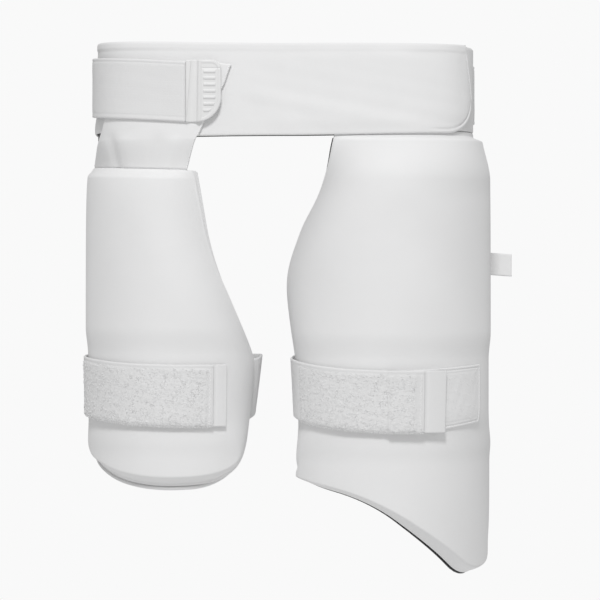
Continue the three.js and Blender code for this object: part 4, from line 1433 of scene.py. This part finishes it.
def sew(name, path, length, width, lean, slot):
    place, run, up = path
    mesh = bpy.data.meshes.new(name + "_points")
    mesh.from_pydata((place * MM).tolist(), [], [])
    for label, values in (("run", run), ("up", up)):
        layer = mesh.attributes.new(label, "FLOAT_VECTOR", "POINT")
        layer.data.foreach_set("vector", values.astype(np.float32).ravel())
    values = {"Stitch length": length * MM, "Thread width": width * MM, "Lean": lean, "Material": thread}
    grown(name, mesh, sewing, values, slot)


def grow_loops(name, form, grid, weight, per_square_mm, radius, width):
    along, height, outer = grid
    quads = grid_quads(*along.shape)[1]
    vertices = form.place(along, height, outer - 0.1).reshape(-1, 3) * MM
    corner = vertices[quads[:, :3]]
    facing = np.cross(corner[:, 1] - corner[:, 0], corner[:, 2] - corner[:, 0]).sum(axis=0)
    if facing[1] > 0:
        quads = quads[:, ::-1]
    mesh = bpy.data.meshes.new(name + "_ground")
    mesh.from_pydata(vertices.tolist(), [], quads.tolist())
    layer = mesh.attributes.new("weight", "FLOAT", "POINT")
    layer.data.foreach_set("value", weight.astype(np.float32).ravel())
    values = {"Loops per area": per_square_mm * 1e6, "Loop radius": radius * MM, "Thread width": width * MM}
    grown(name, mesh, looping, values | {"Material": thread}, "loop_cloth")


# %% [markdown]
# Now the seams themselves. Each one is a line on a piece's own grid, so it lies exactly on the cloth. The
# overlocked lower edge of a strap, the zigzag at its end and the tack where its pile starts are the places
# where the stitching really shows. The pile is thickest along the lower edge, where loops are pulled out.


# %% Strap seams and loops
def strap_seams(name, way):
    along, height, outer, fuzzy = way.grid
    column = int(np.argmin(np.abs(along[0] - way.pile_from)))
    edge_line, first_line, last_line = np.s_[-1, column:], np.s_[4:-4, column], np.s_[4:-4, along.shape[1] - 4]
    for kind, line, lift, pitch, length, width, lean, slot in (
        ("_overlock", edge_line, 0.2, 1.1, 2.8, 0.5, 1.05, "loop_cloth"),
        ("_zigzag", last_line, 0.1, 1.5, 2.6, 0.55, 0.8, "elastic_webbing"),
        ("_tack", first_line, -0.05, 1.9, 1.5, 0.4, 0.0, "elastic_webbing"),
    ):
        path = seam_path(way.form, along[line], height[line], outer[line] + lift, pitch)
        sew(name + kind, path, length, width, lean, slot)
    patches = np.clip(0.55 + 1.6 * waves(along, height, 1.0, 16, 40), 0.08, 2.5)
    low_edge = 2.6 * np.exp(-((height - height[-1]) / 2.2))
    weight = (patches + low_edge) * ease((fuzzy - 0.1) / 0.6) + 1.2 * low_edge * (along > way.pile_from)
    grid = [values[:, column:] for values in (along, height, outer)]
    grow_loops(name + "_loops", way.form, grid, weight[:, column:], 0.3, 0.65, 0.3)


strap_seams("outer_strap", outer_strap_way)
strap_seams("inner_strap", inner_strap_way)

# %% [markdown]
# The patch is sewn down with one line of plain stitches inside its border, and has a thinner, shorter pile.

# %% Patch seams and loops
patch_path = seam_path(outer_leg, *(edge_loop(values[4:-4, 4:-4]) for values in patch_grid), 2.4)
sew("patch_border_stitches", patch_path, 1.8, 0.35, 0.0, "loop_cloth")
along, height, outer = patch_grid
patch_weight = np.clip(0.5 + 1.4 * waves(along, height, 1.0, 14, 44), 0.05, 2.0)
patch_weight = patch_weight * ease((rim_distance(along, height) - 3) / 2)
grow_loops("patch_loops", outer_leg, patch_grid, patch_weight, 0.12, 0.5, 0.2)

# %% [markdown]
# The hanger's free right edge is overlocked, like the edge of a shirt seam.

# %% Hanger seam
hanger_path = seam_path(HangerForm(), *(values[2:-2, -3] for values in hanger_grid), 1.6)
sew("hanger_overlock", hanger_path, 2.4, 0.5, 0.9, "face_cloth")

# %% [markdown]
# A catalogue picture has a broad soft light in front and a bright plain background. A large area light above
# the camera shapes the cloth, and the world gives the rest. The camera sees the world brighter than it shines,
# so the background is clean while the sides of the pads can still turn a little darker.

# %% Light and floor
world = bpy.data.worlds.new("studio")
bpy.context.scene.world = world
world.use_nodes = True
sky = world.node_tree
sky.nodes.clear()
seen, shining = sky.nodes.new("ShaderNodeBackground"), sky.nodes.new("ShaderNodeBackground")
seen.inputs["Color"].default_value = (0.948, 0.948, 0.948, 1)
shining.inputs["Color"].default_value = (1, 1, 1, 1)
shining.inputs["Strength"].default_value = 0.465
way_of_light, blend = sky.nodes.new("ShaderNodeLightPath"), sky.nodes.new("ShaderNodeMixShader")
sky_out = sky.nodes.new("ShaderNodeOutputWorld")
sky.links.new(way_of_light.outputs["Is Camera Ray"], blend.inputs[0])
sky.links.new(shining.outputs[0], blend.inputs[1])
sky.links.new(seen.outputs[0], blend.inputs[2])
sky.links.new(blend.outputs[0], sky_out.inputs[0])

softbox_place, softbox_target, softbox_size = Vector((-0.1, -2.2, 2.2)), Vector((0, 0, -0.18)), 0.55
softbox_data = bpy.data.lights.new("top_softbox", "AREA")
softbox_data.shape = "RECTANGLE"
softbox_data.size = softbox_data.size_y = softbox_size
softbox_data.energy = 55
softbox = bpy.data.objects.new("top_softbox", softbox_data)
softbox.location = softbox_place
softbox.rotation_euler = (softbox_target - softbox_place).to_track_quat("-Z", "Y").to_euler()
bpy.context.scene.collection.objects.link(softbox)

reach, floor_height = 1.5, -0.6
floor_corners = [(x * reach, y * reach, floor_height) for x, y in ((-1, -1), (1, -1), (1, 1), (-1, 1))]
floor_mesh = bpy.data.meshes.new("floor")
floor_mesh.from_pydata(floor_corners, [], [(0, 1, 2, 3)])
floor = bpy.data.objects.new("floor", floor_mesh)
bpy.context.scene.collection.objects.link(floor)
floor_mesh.materials.append(new_material("pale_floor", {"Base Color": (0.9, 0.9, 0.9, 1), "Roughness": 0.9})[0])
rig.stage(floor)
bpy.context.scene.view_settings.view_transform = "Standard"

# %% Finish
visual_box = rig.bounds()
with open("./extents.json", "w") as size_file:
    json.dump({"cad": [list(map(float, v)) for v in cad_box], "visual": [list(map(float, v)) for v in visual_box]}, size_file)
